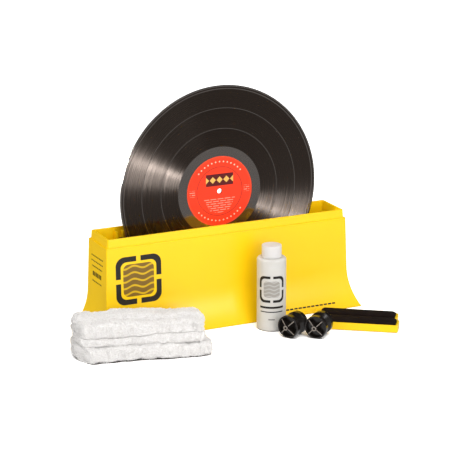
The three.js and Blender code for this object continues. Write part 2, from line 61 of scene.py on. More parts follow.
stage = {
    "size": 24000,
    "floorColour": "f4f3f2",
    "glossyShare": 0.62,
    "skyStrength": 0.7,
    "ceilingGlow": 0.1,
    "horizonGlow": 0.3,
    # Painted shades on the floor: its contact shade, and the dark shade it shows in reflections
    "contactShadeColour": "2e2823",
    "contactReach": 12,
    "reflectedShadeColour": "3a3528",
    "mirrorFrom": -70,
    "mirrorTo": -10,
    "ceilingFrom": 0.12,
    "ceilingTo": 0.55,
    "contactFrom": 0.12,
    "contactTo": 0.62,
    "mirrorEnd": 0.04,
    "behindFrom": -0.2,
    "behindTo": 0.3,
    "behindGlow": 0.1,
    "leftFrom": -0.6,
    "leftTo": 0.0,
    "leftGlow": 0.2,
}

lamps = {
    "keySoftbox": {"way": (-0.12, -0.69, 0.66), "away": 2600, "size": (1300, 1300), "watts": 20,
                   "only": "both"},
    "leftStrip": {"way": (-0.86, -0.42, 0.335), "away": 1900, "size": (130, 110), "watts": 1280,
                  "only": "gloss"},
    "leftGlow": {"way": (-0.86, -0.42, 0.13), "away": 1900, "size": (220, 520), "watts": 640,
                 "only": "gloss"},
    "frontGlow": {"way": (-0.05, -0.97, 0.24), "away": 2400, "size": (1300, 900), "watts": 19,
                  "only": "diffuse"},
    "leftFill": {"way": (-0.84, -0.05, 0.54), "away": 2600, "size": (1300, 1300), "watts": 10,
                 "only": "diffuse"},
    "frontFlare": {"way": (0.1, -0.97, 0.15), "away": 2400, "size": (1500, 640), "watts": 23,
                   "only": "gloss"},
    "topFill": {"way": (0.15, 0.2, 1.0), "away": 2600, "size": (1800, 1800), "watts": 4, "only": "both"},
}


def hexColour(code):
    parts = [int(code[i:i + 2], 16) / 255 for i in (0, 2, 4)]
    return tuple(p / 12.92 if p <= 0.04045 else ((p + 0.055) / 1.055) ** 2.4 for p in parts) + (1.0,)


# Adds a node; inputs are values, hex colours, sockets, or nodes whose first live output is taken
def addNode(tree, kind, inputs=None, **settings):
    node = tree.nodes.new(kind)
    for name, value in settings.items():
        setattr(node, name, value)
    for key, value in (inputs or {}).items():
        if isinstance(key, int):
            socket = node.inputs[key]
        else:
            socket = next(s for s in node.inputs if s.enabled and s.name == key)
        if isinstance(value, bpy.types.Node):
            value = next(s for s in value.outputs if s.enabled)
        if isinstance(value, bpy.types.NodeSocket):
            tree.links.new(value, socket)
        else:
            isHex = socket.type == "RGBA" and isinstance(value, str)
            socket.default_value = hexColour(value) if isHex else value
    return node


def newMaterial(name):
    material = bpy.data.materials.new(name)
    material.use_nodes = True
    material.node_tree.nodes.clear()
    return material, material.node_tree


def linkObject(name, mesh):
    thing = bpy.data.objects.new(name, mesh)
    bpy.context.scene.collection.objects.link(thing)
    return thing


def makeCamera():
    data = bpy.data.cameras.new("photoCamera")
    data.lens = camera["lens"]
    data.sensor_width = camera["sensor"]
    data.clip_start = 0.05
    data.clip_end = 60
    thing = linkObject("photoCamera", data)
    thing.location = Vector(camera["place"]) * mm
    thing.rotation_euler = (math.radians(90 - camera["down"]), 0, -math.radians(camera["turn"]))
    bpy.context.scene.camera = thing


# Overexposed paper sweep: white where it is looked at, with painted contact shade where a piece all but
# touches it
def makeFloor():
    material, tree = newMaterial("studioPaper")
    path = addNode(tree, "ShaderNodeLightPath")
    place = addNode(tree, "ShaderNodeTexCoord").outputs["Object"]
    depth = addNode(tree, "ShaderNodeSeparateXYZ", {"Vector": place}).outputs["Y"]
    clear = addNode(tree, "ShaderNodeAmbientOcclusion", {"Distance": stage["contactReach"] * mm}, samples=8)
    # Painted contact shade: the paper darkens where ambient occlusion finds a piece close by
    lit = addNode(tree, "ShaderNodeMapRange", {
        "Value": clear.outputs["AO"], "From Min": stage["contactFrom"], "From Max": stage["contactTo"],
    })
    colour = addNode(tree, "ShaderNodeMix",
                     {"Factor": lit, "A": stage["contactShadeColour"], "B": stage["floorColour"]},
                     data_type="RGBA")
    paper = addNode(tree, "ShaderNodeBsdfDiffuse", {"Color": colour})
    double = addNode(tree, "ShaderNodeAddShader", {0: paper, 1: paper})
    glow = addNode(tree, "ShaderNodeEmission", {"Color": "ffffff", "Strength": 1.0})
    mirrored = addNode(tree, "ShaderNodeMath",
                       {0: path.outputs["Is Glossy Ray"], 1: path.outputs["Is Transmission Ray"]},
                       operation="ADD", use_clamp=True)
    front = addNode(tree, "ShaderNodeMapRange", {
        "Value": depth, "From Min": stage["mirrorFrom"] * mm, "From Max": stage["mirrorTo"] * mm,
        "To Min": stage["glossyShare"], "To Max": stage["mirrorEnd"],
    })
    share = addNode(tree, "ShaderNodeMath", {0: mirrored, 1: front}, operation="MULTIPLY")
    # Painted dark reflection: glossy rays see the floor in this dark shade, more so toward and behind the
    # basin
    reflectedShade = addNode(tree, "ShaderNodeBsdfDiffuse", {"Color": stage["reflectedShadeColour"]})
    under = addNode(tree, "ShaderNodeMixShader", {0: mirrored, 1: paper, 2: reflectedShade})
    mixed = addNode(tree, "ShaderNodeMixShader", {0: share, 1: under, 2: glow})
    mixed = addNode(tree, "ShaderNodeMixShader", {0: path.outputs["Is Camera Ray"], 1: mixed, 2: double})
    addNode(tree, "ShaderNodeOutputMaterial", {"Surface": mixed})
    half = stage["size"] / 2 * mm
    mesh = bpy.data.meshes.new("floorPaper")
    corners = [(-half, -half, 0), (half, -half, 0), (half, half, 0), (-half, half, 0)]
    mesh.from_pydata(corners, [], [(0, 1, 2, 3)])
    mesh.materials.append(material)
    floor = linkObject("floorPaper", mesh)


# White room, dark above, behind and to the left where a glossy surface mirrors it
def makeWorld():
    world = bpy.data.worlds.new("studioSky")
    bpy.context.scene.world = world
    world.use_nodes = True
    tree = world.node_tree
    tree.nodes.clear()
    path = addNode(tree, "ShaderNodeLightPath")
    way = addNode(tree, "ShaderNodeTexCoord").outputs["Generated"]
    split = addNode(tree, "ShaderNodeSeparateXYZ", {"Vector": way})
    ceiling = addNode(tree, "ShaderNodeMapRange", {
        "Value": split.outputs["Z"], "From Min": stage["ceilingFrom"], "From Max": stage["ceilingTo"],
        "To Min": stage["horizonGlow"], "To Max": stage["ceilingGlow"],
    }, interpolation_type="SMOOTHSTEP")
    behind = addNode(tree, "ShaderNodeMapRange", {
        "Value": split.outputs["Y"], "From Min": stage["behindFrom"], "From Max": stage["behindTo"],
        "To Min": 1.0, "To Max": stage["behindGlow"],
    })
    left = addNode(tree, "ShaderNodeMapRange", {
        "Value": split.outputs["X"], "From Min": stage["leftFrom"], "From Max": stage["leftTo"],
        "To Min": stage["leftGlow"], "To Max": 1.0,
    })
    ceiling = addNode(tree, "ShaderNodeMath", {0: ceiling, 1: behind}, operation="MULTIPLY")
    ceiling = addNode(tree, "ShaderNodeMath", {0: ceiling, 1: left}, operation="MULTIPLY")
    seen = addNode(tree, "ShaderNodeMath",
                   {0: path.outputs["Is Camera Ray"], 1: path.outputs["Is Transmission Ray"]},
                   operation="ADD", use_clamp=True)
    strength = addNode(tree, "ShaderNodeMix",
                       {"Factor": path.outputs["Is Glossy Ray"], "A": stage["skyStrength"], "B": ceiling})
    strength = addNode(tree, "ShaderNodeMix", {"Factor": seen, "A": strength, "B": 1.0})
    sky = addNode(tree, "ShaderNodeBackground", {"Color": "ffffff", "Strength": strength})
    addNode(tree, "ShaderNodeOutputWorld", {"Surface": sky})


def makeLamps():
    aim = Vector((0, 0, 150)) * mm
    for name, lamp in lamps.items():
        data = bpy.data.lights.new(name, "AREA")
        data.shape = "RECTANGLE"
        data.size = lamp["size"][0] * mm
        data.size_y = lamp["size"][1] * mm
        data.energy = lamp["watts"]
        thing = linkObject(name, data)
        thing.visible_diffuse = lamp["only"] != "gloss"
        thing.visible_glossy = lamp["only"] != "diffuse"
        way = Vector(lamp["way"]).normalized()
        thing.location = aim + way * lamp["away"] * mm
        thing.rotation_euler = (-way).to_track_quat("-Z", "Y").to_euler()


# Keeps lamps to one piece, as flags beside a lamp would
def keepLampsTo(name, piece, names):
    kept = bpy.data.collections.new(name)
    kept.objects.link(piece)
    for lamp in names:
        bpy.data.objects[lamp].light_linking.receiver_collection = kept


makeCamera()
makeFloor()
makeWorld()
makeLamps()
bpy.context.scene.view_settings.view_transform = "Standard"
print("camera, floor and light made")


# Shapes that several pieces use

def arc(across, up, radius, fromDegrees, toDegrees, steps):
    turns = [math.radians(fromDegrees + (toDegrees - fromDegrees) * i / steps) for i in range(steps + 1)]
    return [(across + radius * math.cos(t), up + radius * math.sin(t)) for t in turns]


def roundedRing(lowX, highX, halfY, radius, height, cornerSteps=6):
    ring = []
    corners = [(highX, 1), (lowX, 1), (lowX, -1), (highX, -1)]
    for quarter, (x, sideY) in enumerate(corners):
        middleX = x - radius if x == highX else x + radius
        ring += [(px, py, height) for px, py in
                 arc(middleX, sideY * (halfY - radius), radius, 90 * quarter, 90 * quarter + 90, cornerSteps)]
    return ring


# Skin over rings of points, with the first and last ring closed
def loft(rings):
    count = len(rings[0])
    points = [p for ring in rings for p in ring]
    faces = []
    for r in range(len(rings) - 1):
        for i in range(count):
            j = (i + 1) % count
            faces.append((r * count + i, r * count + j, (r + 1) * count + j, (r + 1) * count + i))
    faces.append(tuple(reversed(range(count))))
    faces.append(tuple(range((len(rings) - 1) * count, len(rings) * count)))
    return points, faces


# Outline of (radius, along) points turned about Z; it starts and ends on the axis, or is a closed loop
def turned(outline, segments):
    onAxis = outline[0][0] == 0
    points, rows = [], []
    for radius, along in outline:
        if radius == 0:
            rows.append([len(points)] * segments)
            points.append((0, 0, along))
            continue
        rows.append(list(range(len(points), len(points) + segments)))
        for i in range(segments):
            turn = 2 * math.pi * i / segments
            points.append((radius * math.cos(turn), radius * math.sin(turn), along))
    faces = []
    pairs = list(zip(rows, rows[1:])) + ([] if onAxis else [(rows[-1], rows[0])])
    for low, high in pairs:
        for i in range(segments):
            j = (i + 1) % segments
            corner = [low[i], low[j], high[j], high[i]]
            faces.append(tuple(dict.fromkeys(corner)))
    return points, faces


def block(low, high):
    corners = [(x, y, z) for x in (low[0], high[0]) for y in (low[1], high[1]) for z in (low[2], high[2])]
    faces = [(0, 1, 3, 2), (4, 6, 7, 5), (0, 4, 5, 1), (2, 3, 7, 6), (0, 2, 6, 4), (1, 5, 7, 3)]
    return corners, faces


# Flat outline of (across, up) points given a thickness, from low to high along the third axis
def plate(outline, low, high):
    count = len(outline)
    points = [(a, low, u) for a, u in outline] + [(a, high, u) for a, u in outline]
    faces = [tuple(range(count)), tuple(reversed(range(count, 2 * count)))]
    faces += [(i, i + count, (i + 1) % count + count, (i + 1) % count) for i in range(count)]
    return points, faces


# A mesh in metres from a shape in millimetres, its faces turned outwards
def meshOf(name, shape, place=None):
    points, faces = shape
    mesh = bpy.data.meshes.new(name)
    mesh.from_pydata([Vector(p) * mm for p in points], [], faces)
    if place is not None:
        mesh.transform(place)
    build = bmesh.new()
    build.from_mesh(mesh)
    bmesh.ops.remove_doubles(build, verts=build.verts, dist=0.001 * mm)
    bmesh.ops.recalc_face_normals(build, faces=build.faces)
    build.to_mesh(mesh)
    build.free()
    return mesh


def roundEdges(mesh, width, segments=2, sharpDegrees=40):
    build = bmesh.new()
    build.from_mesh(mesh)
    edges = [e for e in build.edges if len(e.link_faces) == 2
             and e.calc_face_angle(0) > math.radians(sharpDegrees)]
    bmesh.ops.bevel(build, geom=edges, offset=width * mm, segments=segments, profile=0.5,
                    affect="EDGES", clamp_overlap=True)
    build.to_mesh(mesh)
    build.free()
    return mesh


def joined(name, meshes):
    build = bmesh.new()
    for mesh in meshes:
        build.from_mesh(mesh)
    whole = bpy.data.meshes.new(name)
    build.to_mesh(whole)
    build.free()
    return whole


def smoothed(mesh, degrees=35):
    for polygon in mesh.polygons:
        polygon.use_smooth = True
    mesh.set_sharp_from_angle(angle=math.radians(degrees))
    return mesh


# One finished piece: it rides on its body and stands for its node
def makePiece(name, mesh, materials, body, node=None, flatShading=True):
    which = [polygon.material_index for polygon in mesh.polygons]
    mesh.materials.clear()
    for material in materials:
        mesh.materials.append(material)
    mesh.polygons.foreach_set("material_index", which)
    piece = linkObject(name, mesh)
    if flatShading:
        weighted = piece.modifiers.new("faceWeighted", "WEIGHTED_NORMAL")
        weighted.keep_sharp = True
    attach(piece, body)
    if node:
        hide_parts(node)
    return piece


# Tree that puts a copy of a unit at each point, turned as the point's own attribute says
def makeCopiesTree():
    tree = bpy.data.node_groups.new("copiesAtPlaces", "GeometryNodeTree")
    tree.interface.new_socket("Places", in_out="INPUT", socket_type="NodeSocketGeometry")
    tree.interface.new_socket("Unit", in_out="INPUT", socket_type="NodeSocketObject")
    tree.interface.new_socket("Unit Scale", in_out="INPUT", socket_type="NodeSocketFloat")
    tree.interface.new_socket("Finish", in_out="INPUT", socket_type="NodeSocketMaterial")
    tree.interface.new_socket("Copies", in_out="OUTPUT", socket_type="NodeSocketGeometry")
    given = addNode(tree, "NodeGroupInput")
    turn = addNode(tree, "GeometryNodeInputNamedAttribute", {"Name": "turn"}, data_type="FLOAT_VECTOR")
    unit = addNode(tree, "GeometryNodeObjectInfo", {"Object": given.outputs["Unit"]},
                   transform_space="ORIGINAL")
    copies = addNode(tree, "GeometryNodeInstanceOnPoints", {
        "Points": given.outputs["Places"],
        "Instance": unit.outputs["Geometry"],
        "Rotation": addNode(tree, "FunctionNodeEulerToRotation", {"Euler": turn}),
        "Scale": given.outputs["Unit Scale"],
    })
    real = addNode(tree, "GeometryNodeRealizeInstances", {"Geometry": copies})
    dressed = addNode(tree, "GeometryNodeSetMaterial",
                      {"Geometry": real, "Material": given.outputs["Finish"]})
    addNode(tree, "NodeGroupOutput", {"Copies": dressed})
    return tree


def inputIdentifier(tree, name):
    return next(s.identifier for s in tree.interface.items_tree if s.name == name and s.in_out == "INPUT")


# Runs a tree on a host mesh and gives back the plain mesh that comes out
def grown(tree, host, values):
    thing = linkObject(host.name + "Host", host)
    modifier = thing.modifiers.new("grow", "NODES")
    modifier.node_group = tree
    for name, value in values.items():
        modifier[inputIdentifier(tree, name)] = value
    graph = bpy.context.evaluated_depsgraph_get()
    mesh = bpy.data.meshes.new_from_object(thing.evaluated_get(graph), depsgraph=graph)
    thing.modifiers.remove(modifier)
    bpy.data.objects.remove(thing)
    return mesh


copiesTree = makeCopiesTree()


def copiesOf(name, unitMesh, places, material):
    host = bpy.data.meshes.new(name)
    host.from_pydata([Vector(point) * mm for point, turn in places], [], [])
    turns = host.attributes.new("turn", "FLOAT_VECTOR", "POINT")
    for i, (point, turn) in enumerate(places):
        turns.data[i].vector = [math.radians(t) for t in turn]
    unit = linkObject(name + "Unit", unitMesh)
    mesh = grown(copiesTree, host, {"Unit": unit, "Unit Scale": 1.0, "Finish": material})
    bpy.data.objects.remove(unit)
    return mesh


# Basin: one injection moulding, with its slots, brush channels and under ribs

basinSizes = {
    "collarDraft": 0.6, "ledgeWidth": 2.5, "bodyDraft": 3.7, "flareHeight": 57, "flareReach": 14.6,
    "footRound": 1, "ledgeDrop": 11.8, "ledgeRound": 0.8, "rimRound": 0.9, "cornerRadius": 2.5,
    "tubWall": 3, "tubDraft": 1.2, "tubCorner": 4, "floorRound": 4, "floorTop": 16.7, "floorThickness": 3,
    "skirtWall": 2.8, "skirtTop": 66, "flareSteps": 26, "ribSpacing": 92, "ribThickness": 2.6,
}
slotSizes = {
    "places": (143.503, 116.561, 66.768), "halfSlot": 3.8, "rib": 2.4, "inner": 17.9, "top": 137.5,
    "axle": 114.5, "seat": 4, "edgeRound": 0.35, "arcSteps": 10,
}
channelSizes = {
    "guideIn": 13.3, "guideReach": 7.8, "stopIn": 17.6, "stopPlace": 7, "rib": 2.4, "top": 122,
    "edgeRound": 0.4,
}
badge = {
    "along": -139, "up": 82, "half": 34, "corner": 13, "stroke": 7.5, "innerHalf": 28, "innerCorner": 8,
    "wavePitch": 4.6, "rippleShare": 0.6, "waveBend": 2.0, "gapHalf": 3.2,
    "ink": "1d1a16", "olive": "7d5f1c",
}

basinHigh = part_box("basin")[1] / mm
basinHeight = basinHigh.z
ledgeHeight = basinHeight - basinSizes["ledgeDrop"]
flareHeight, flareReach = basinSizes["flareHeight"], basinSizes["flareReach"]
flareRadius = (flareHeight ** 2 + flareReach ** 2) / (2 * flareReach)


# How far the outside stands out from the rim at a height
def outerOffset(height):
    s = basinSizes
    below = max(s["flareHeight"] - height, 0)
    flare = flareRadius - math.sqrt(flareRadius ** 2 - below ** 2)
    return s["collarDraft"] + s["ledgeWidth"] + s["bodyDraft"] * (1 - height / ledgeHeight) + flare


rimHalfLength = basinHigh.x - outerOffset(0)
rimHalfWidth = basinHigh.y - outerOffset(0)


def basinShell():
    s = basinSizes
    under = s["floorTop"] - s["floorThickness"]
    heights = [s["flareHeight"] * (i / s["flareSteps"]) for i in range(s["flareSteps"] + 1)]
    inside = [(-s["tubDraft"], under), (-s["tubDraft"], s["skirtTop"])]
    inside += [(outerOffset(h) - s["skirtWall"], h) for h in [s["skirtTop"]] + heights[::-1]]
    foot = outerOffset(0)
    outside = arc(foot - s["footRound"], s["footRound"], s["footRound"], -90, 0, 4)
    outside += [(outerOffset(h), h) for h in heights if h > s["footRound"]]
    body = outerOffset(ledgeHeight)
    outside += arc(body - s["ledgeRound"], ledgeHeight - s["ledgeRound"], s["ledgeRound"], 0, 90, 4)
    outside += [(s["collarDraft"] + 0.4, ledgeHeight), (s["collarDraft"], ledgeHeight + 0.4)]
    outside += arc(-s["rimRound"], basinHeight - s["rimRound"], s["rimRound"], 0, 90, 5)
    tub = arc(s["rimRound"] - s["tubWall"], basinHeight - s["rimRound"], s["rimRound"], 90, 180, 5)
    low = -s["tubWall"] - s["tubDraft"]
    tub += arc(low - s["floorRound"], s["floorTop"] + s["floorRound"], s["floorRound"], 0, -90, 6)

    def ring(offset, height, corner):
        return roundedRing(-rimHalfLength - offset, rimHalfLength + offset, rimHalfWidth + offset, corner,
                           height)

    rings = [ring(o, h, s["tubCorner"] if i < 2 else s["cornerRadius"]) for i, (o, h) in enumerate(inside)]
    rings += [ring(o, h, s["cornerRadius"]) for o, h in outside]
    rings += [ring(o, h, s["tubCorner"] if i > 4 else s["cornerRadius"]) for i, (o, h) in enumerate(tub)]
    return meshOf("basinShell", loft(rings))


# Two upright ribs and the half round seat between them, for one roller stub
def slotUnit():
    s = slotSizes
    half = s["halfSlot"]
    wide = half + s["rib"]
    low = basinSizes["floorTop"] - basinSizes["floorThickness"] / 2
    seatLow = s["axle"] - half - s["seat"]
    outline = [(-wide, low), (-wide, s["top"]), (-half, s["top"])]
    outline += arc(0, s["axle"], half, 180, 360, s["arcSteps"])
    outline += [(half, s["top"]), (wide, s["top"]), (wide, low), (half, low), (half, seatLow),
                (-half, seatLow),
                (-half, low)]
    wall = rimHalfWidth - basinSizes["tubWall"] / 2
    return roundEdges(meshOf("slotUnit", plate(outline, s["inner"], wall)), s["edgeRound"])


# Rib under the floor, across the basin: it follows the inside of the skirt
def underRibUnit():
    s = basinSizes
    top = s["floorTop"] - s["floorThickness"] / 2
    wall = s["skirtWall"] / 2
    side = [(rimHalfWidth + outerOffset(s["skirtTop"] * i / 12) - wall, s["skirtTop"] * i / 12)
            for i in range(13)]
    side += [(rimHalfWidth - s["tubDraft"] - 0.8, s["skirtTop"]), (rimHalfWidth - s["tubDraft"] - 0.8, top)]
    outline = side + [(-a, u) for a, u in reversed(side)]
    shape = plate(outline, -s["ribThickness"] / 2, s["ribThickness"] / 2)
    return meshOf("underRib", shape, Matrix.Rotation(math.pi / 2, 4, "Z"))


def channelUnit():
    s = channelSizes
    wall = rimHalfWidth - basinSizes["tubWall"] / 2
    low = basinSizes["floorTop"] - basinSizes["floorThickness"] / 2
    spans = [(s["guideIn"], s["guideIn"] + s["rib"], s["guideReach"]),
             (s["stopPlace"] - s["rib"] / 2, s["stopPlace"] + s["rib"] / 2, s["stopIn"])]
    meshes = []
    for near, far, reach in spans:
        for side in (1, -1):
            x = sorted((side * near, side * far))
            shape = block((x[0], reach, low), (x[1], wall, s["top"]))
            meshes.append(roundEdges(meshOf("channel", shape), s["edgeRound"]))
    return joined("channelUnit", meshes)


# The rib along the middle, low under the tub and up to the top of the space at both ends
def longRib():
    s = basinSizes
    half = s["ribThickness"] / 2
    top = s["skirtTop"] + 0.5
    heights = [top * i / 6 for i in range(7)]
    edge = [(rimHalfLength + outerOffset(z) - s["skirtWall"] / 2, z) for z in heights]
    tubEnd = rimHalfLength - s["tubDraft"] - 1
    edge += [(tubEnd, top), (tubEnd, s["floorTop"] - s["floorThickness"] / 2)]
    return meshOf("longRib", plate(edge + [(-x, z) for x, z in reversed(edge)], -half, half))


# Glossy injection moulded polystyrene: even strong yellow, a soft sheen with a faint orange peel
def yellowStyrene():
    material, tree = newMaterial("yellowStyrene")
    place = addNode(tree, "ShaderNodeTexCoord").outputs["Object"]
    flow = addNode(tree, "ShaderNodeTexNoise",
                   {"Vector": place, "Scale": 1 / (70 * mm), "Detail": 2.0, "Roughness": 0.5})
    colour = addNode(tree, "ShaderNodeMix", {"Factor": flow, "A": "f9c902", "B": "fdd102"}, data_type="RGBA")
    peel = addNode(tree, "ShaderNodeTexNoise",
                   {"Vector": place, "Scale": 1 / (2.2 * mm), "Detail": 2.0, "Roughness": 0.6})
    wave = addNode(tree, "ShaderNodeTexNoise",
                   {"Vector": place, "Scale": 1 / (38 * mm), "Detail": 1.0, "Roughness": 0.4})
    relief = addNode(tree, "ShaderNodeBump", {"Height": peel, "Distance": 0.02 * mm, "Strength": 0.5})
    relief = addNode(tree, "ShaderNodeBump",
                     {"Height": wave, "Distance": 0.35 * mm, "Strength": 0.6, "Normal": relief})
    gloss = addNode(tree, "ShaderNodeMapRange", {"Value": peel, "To Min": 0.26, "To Max": 0.33})
    skin = addNode(tree, "ShaderNodeBsdfPrincipled", {
        "Base Color": colour, "Roughness": gloss, "Normal": relief, "IOR": 1.47,
    })
    addNode(tree, "ShaderNodeOutputMaterial", {"Surface": skin})
    return material, tree, colour, skin, place


# A soft edged mask: 1 where a value is under a limit, in millimetres
def underLimit(tree, value, limit, soft=0.12):
    return addNode(tree, "ShaderNodeMapRange", {
        "Value": value, "From Min": limit - soft, "From Max": limit + soft, "To Min": 1.0, "To Max": 0.0,
    }, interpolation_type="SMOOTHSTEP")


# How far a point (x, y) lies outside a rounded square, in millimetres
def squareDistance(tree, point, half, corner):
    size = addNode(tree, "ShaderNodeVectorMath", {0: point}, operation="ABSOLUTE")
    size = addNode(tree, "ShaderNodeVectorMath",
                   {0: size, 1: (half - corner, half - corner, 0)}, operation="SUBTRACT")
    size = addNode(tree, "ShaderNodeVectorMath", {0: size, 1: (0, 0, 0)}, operation="MAXIMUM")
    length = addNode(tree, "ShaderNodeVectorMath", {0: size}, operation="LENGTH")
    return addNode(tree, "ShaderNodeMath", {0: length.outputs["Value"], 1: corner}, operation="SUBTRACT")


def multiplied(tree, *masks):
    whole = masks[0]
    for mask in masks[1:]:
        whole = addNode(tree, "ShaderNodeMath", {0: whole, 1: mask}, operation="MULTIPLY")
    return whole


# Screen printed mark: a broken rounded frame round a panel of ripples; flat is (x, y, 0) in millimetres
def printedMark(tree, ground, flat, sizes, ink, panel):
    frameOut = underLimit(tree, squareDistance(tree, flat, sizes["half"], sizes["corner"]), 0)
    frameIn = underLimit(tree, squareDistance(
        tree, flat, sizes["half"] - sizes["stroke"], sizes["corner"] - sizes["stroke"] * 0.6), 0)
    split = addNode(tree, "ShaderNodeSeparateXYZ", {"Vector": flat})
    across = addNode(tree, "ShaderNodeMath", {0: split.outputs["X"]}, operation="ABSOLUTE")
    up = addNode(tree, "ShaderNodeMath", {0: split.outputs["Y"]}, operation="ABSOLUTE")
    nearest = addNode(tree, "ShaderNodeMath", {0: across, 1: up}, operation="MINIMUM")
    gap = underLimit(tree, nearest, sizes["gapHalf"])
    ring = addNode(tree, "ShaderNodeMath", {0: frameOut, 1: frameIn}, operation="SUBTRACT", use_clamp=True)
    ring = addNode(tree, "ShaderNodeMath", {0: ring, 1: gap}, operation="SUBTRACT", use_clamp=True)
    inner = underLimit(tree, squareDistance(tree, flat, sizes["innerHalf"] * 0.82, sizes["innerCorner"]), 0)
    bend = addNode(tree, "ShaderNodeMath", {0: split.outputs["X"], 1: 2 * math.pi / sizes["innerHalf"]},
                   operation="MULTIPLY")
    bend = addNode(tree, "ShaderNodeMath", {0: bend}, operation="SINE")
    bend = addNode(tree, "ShaderNodeMath", {0: bend, 1: sizes["waveBend"]}, operation="MULTIPLY")
    level = addNode(tree, "ShaderNodeMath", {0: split.outputs["Y"], 1: bend}, operation="ADD")
    level = addNode(tree, "ShaderNodeMath", {0: level, 1: sizes["wavePitch"]}, operation="PINGPONG")
    ripple = underLimit(tree, level, sizes["wavePitch"] * 0.3)
    colour = addNode(tree, "ShaderNodeMix", {"Factor": ring, "A": ground, "B": ink}, data_type="RGBA")
    colour = addNode(tree, "ShaderNodeMix", {"Factor": inner, "A": colour, "B": panel}, data_type="RGBA")
    crest = multiplied(tree, inner, ripple, sizes["rippleShare"])
    return addNode(tree, "ShaderNodeMix", {"Factor": crest, "A": colour, "B": ground}, data_type="RGBA")


# Rows of (up, half height, half length), broken into dashes
footRules = {"along": 122.5, "dash": 3.4, "gap": 0.8, "rows": ((9.4, 1.0, 39.5),)}
endRules = {
    "along": 0, "dash": 2.6, "gap": 0.7,
    "rows": ((110, 0.9, 20), (102.5, 0.9, 20), (95, 0.9, 18), (84.5, 3.2, 15), (74, 0.9, 17)),
}


def brokenRules(tree, across, up, sizes):
    away = addNode(tree, "ShaderNodeMath", {0: across, 1: sizes["along"]}, operation="SUBTRACT")
    away = addNode(tree, "ShaderNodeMath", {0: away}, operation="ABSOLUTE")
    rows = 0.0
    for height, half, reach in sizes["rows"]:
        level = addNode(tree, "ShaderNodeMath", {0: up, 1: height}, operation="SUBTRACT")
        level = addNode(tree, "ShaderNodeMath", {0: level}, operation="ABSOLUTE")
        row = multiplied(tree, underLimit(tree, level, half), underLimit(tree, away, reach))
        rows = addNode(tree, "ShaderNodeMath", {0: row, 1: rows}, operation="MAXIMUM")
    dash = addNode(tree, "ShaderNodeMath", {0: across, 1: sizes["dash"]}, operation="PINGPONG")
    dash = addNode(tree, "ShaderNodeMath", {0: dash, 1: sizes["gap"]}, operation="GREATER_THAN")
    return multiplied(tree, rows, dash)


def printedBasinPlastic():
    material, tree, colour, skin, place = yellowStyrene()
    material.name = "yellowStyrenePrinted"
    flat = addNode(tree, "ShaderNodeMapping", {
        "Vector": place, "Rotation": (math.radians(-90), 0, 0),
        "Scale": (1 / mm, 1 / mm, 1 / mm), "Location": (-badge["along"], -badge["up"], 0),
    })
    split = addNode(tree, "ShaderNodeSeparateXYZ", {"Vector": flat})
    flat = addNode(tree, "ShaderNodeCombineXYZ", {"X": split.outputs["X"], "Y": split.outputs["Y"]})
    marked = printedMark(tree, colour, flat, badge, badge["ink"], badge["olive"])
    real = addNode(tree, "ShaderNodeVectorMath", {0: place, "Scale": 1 / mm}, operation="SCALE")
    real = addNode(tree, "ShaderNodeSeparateXYZ", {"Vector": real})
    rule = brokenRules(tree, real.outputs["X"], real.outputs["Z"], footRules)
    marked = addNode(tree, "ShaderNodeMix", {"Factor": rule, "A": marked, "B": badge["ink"]},
                     data_type="RGBA")
    front = addNode(tree, "ShaderNodeMath", {0: split.outputs["Z"], 1: rimHalfWidth + 1},
                    operation="GREATER_THAN")
    shown = addNode(tree, "ShaderNodeMix", {"Factor": front, "A": colour, "B": marked}, data_type="RGBA")
    rule = brokenRules(tree, real.outputs["Y"], real.outputs["Z"], endRules)
    leftEnd = addNode(tree, "ShaderNodeMath", {0: real.outputs["X"], 1: -rimHalfLength - 1},
                      operation="LESS_THAN")
    rule = multiplied(tree, rule, leftEnd)
    shown = addNode(tree, "ShaderNodeMix", {"Factor": rule, "A": shown, "B": badge["ink"]}, data_type="RGBA")
    tree.links.new(next(s for s in shown.outputs if s.enabled), skin.inputs["Base Color"])
    return material


def makeBasin():
    plastic = printedBasinPlastic()
    slots = [((side * x, 0, 0), (0, 0, turn))
             for x in slotSizes["places"] for side in (1, -1) for turn in (0, 180)]
    ribs = [((i * basinSizes["ribSpacing"], 0, 0), (0, 0, 0)) for i in (-1, 0, 1)]
    channels = [((0, 0, 0), (0, 0, 0)), ((0, 0, 0), (0, 0, 180))]
    parts = [
        basinShell(),
        copiesOf("slotRibs", slotUnit(), slots, plastic),
        copiesOf("underRibs", underRibUnit(), ribs, plastic),
        copiesOf("brushChannels", channelUnit(), channels, plastic),
        longRib(),
    ]
    mesh = smoothed(joined("basinMoulding", parts), 30)
    return makePiece("basinMoulding", mesh, [plastic], "basin", "basin")


keepLampsTo("flaredByFrontLamp", makeBasin(), ("frontFlare",))
print("basin made")


# Record: a pressed vinyl disc with grooved bands between smooth rings, and a paper label on each face

recordSizes = {
    "segments": 320, "hole": 3.6, "recess": 0.8, "landHalf": 1.1, "landInner": 50.5, "landOuter": 52.5,
    "landSlope": 2.4, "grooveHalf": 0.75, "deadWaxOuter": 63.7, "rings": (89.6, 118.6), "ringHalf": 0.38,
    "ringDip": 0.06, "grooveOuter": 145.3, "bead": 146.6, "beadHalf": 0.95, "edgeRound": 0.6,
}
labelSizes = {"segments": 192, "radius": 50.2, "thickness": 0.2, "hole": 3.6, "edgeRound": 0.06}
labelMarks = {
    "rim": "e64a2c", "lineRadius": 35.0, "lineHalf": 0.35, "line": "8c2a22",
    "bandLow": 8.0, "bandHigh": 25.0, "bandHalf": 21.0, "plum": "5a1e20", "cream": "e9b45e",
    "rule": "f2b7a0", "lozenge": 10.5,
}

recordCentre = (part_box("record_disc")[0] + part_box("record_disc")[1]) / 2
recordPlace = Matrix.Translation(recordCentre) @ Matrix.Rotation(math.pi / 2, 4, "X")


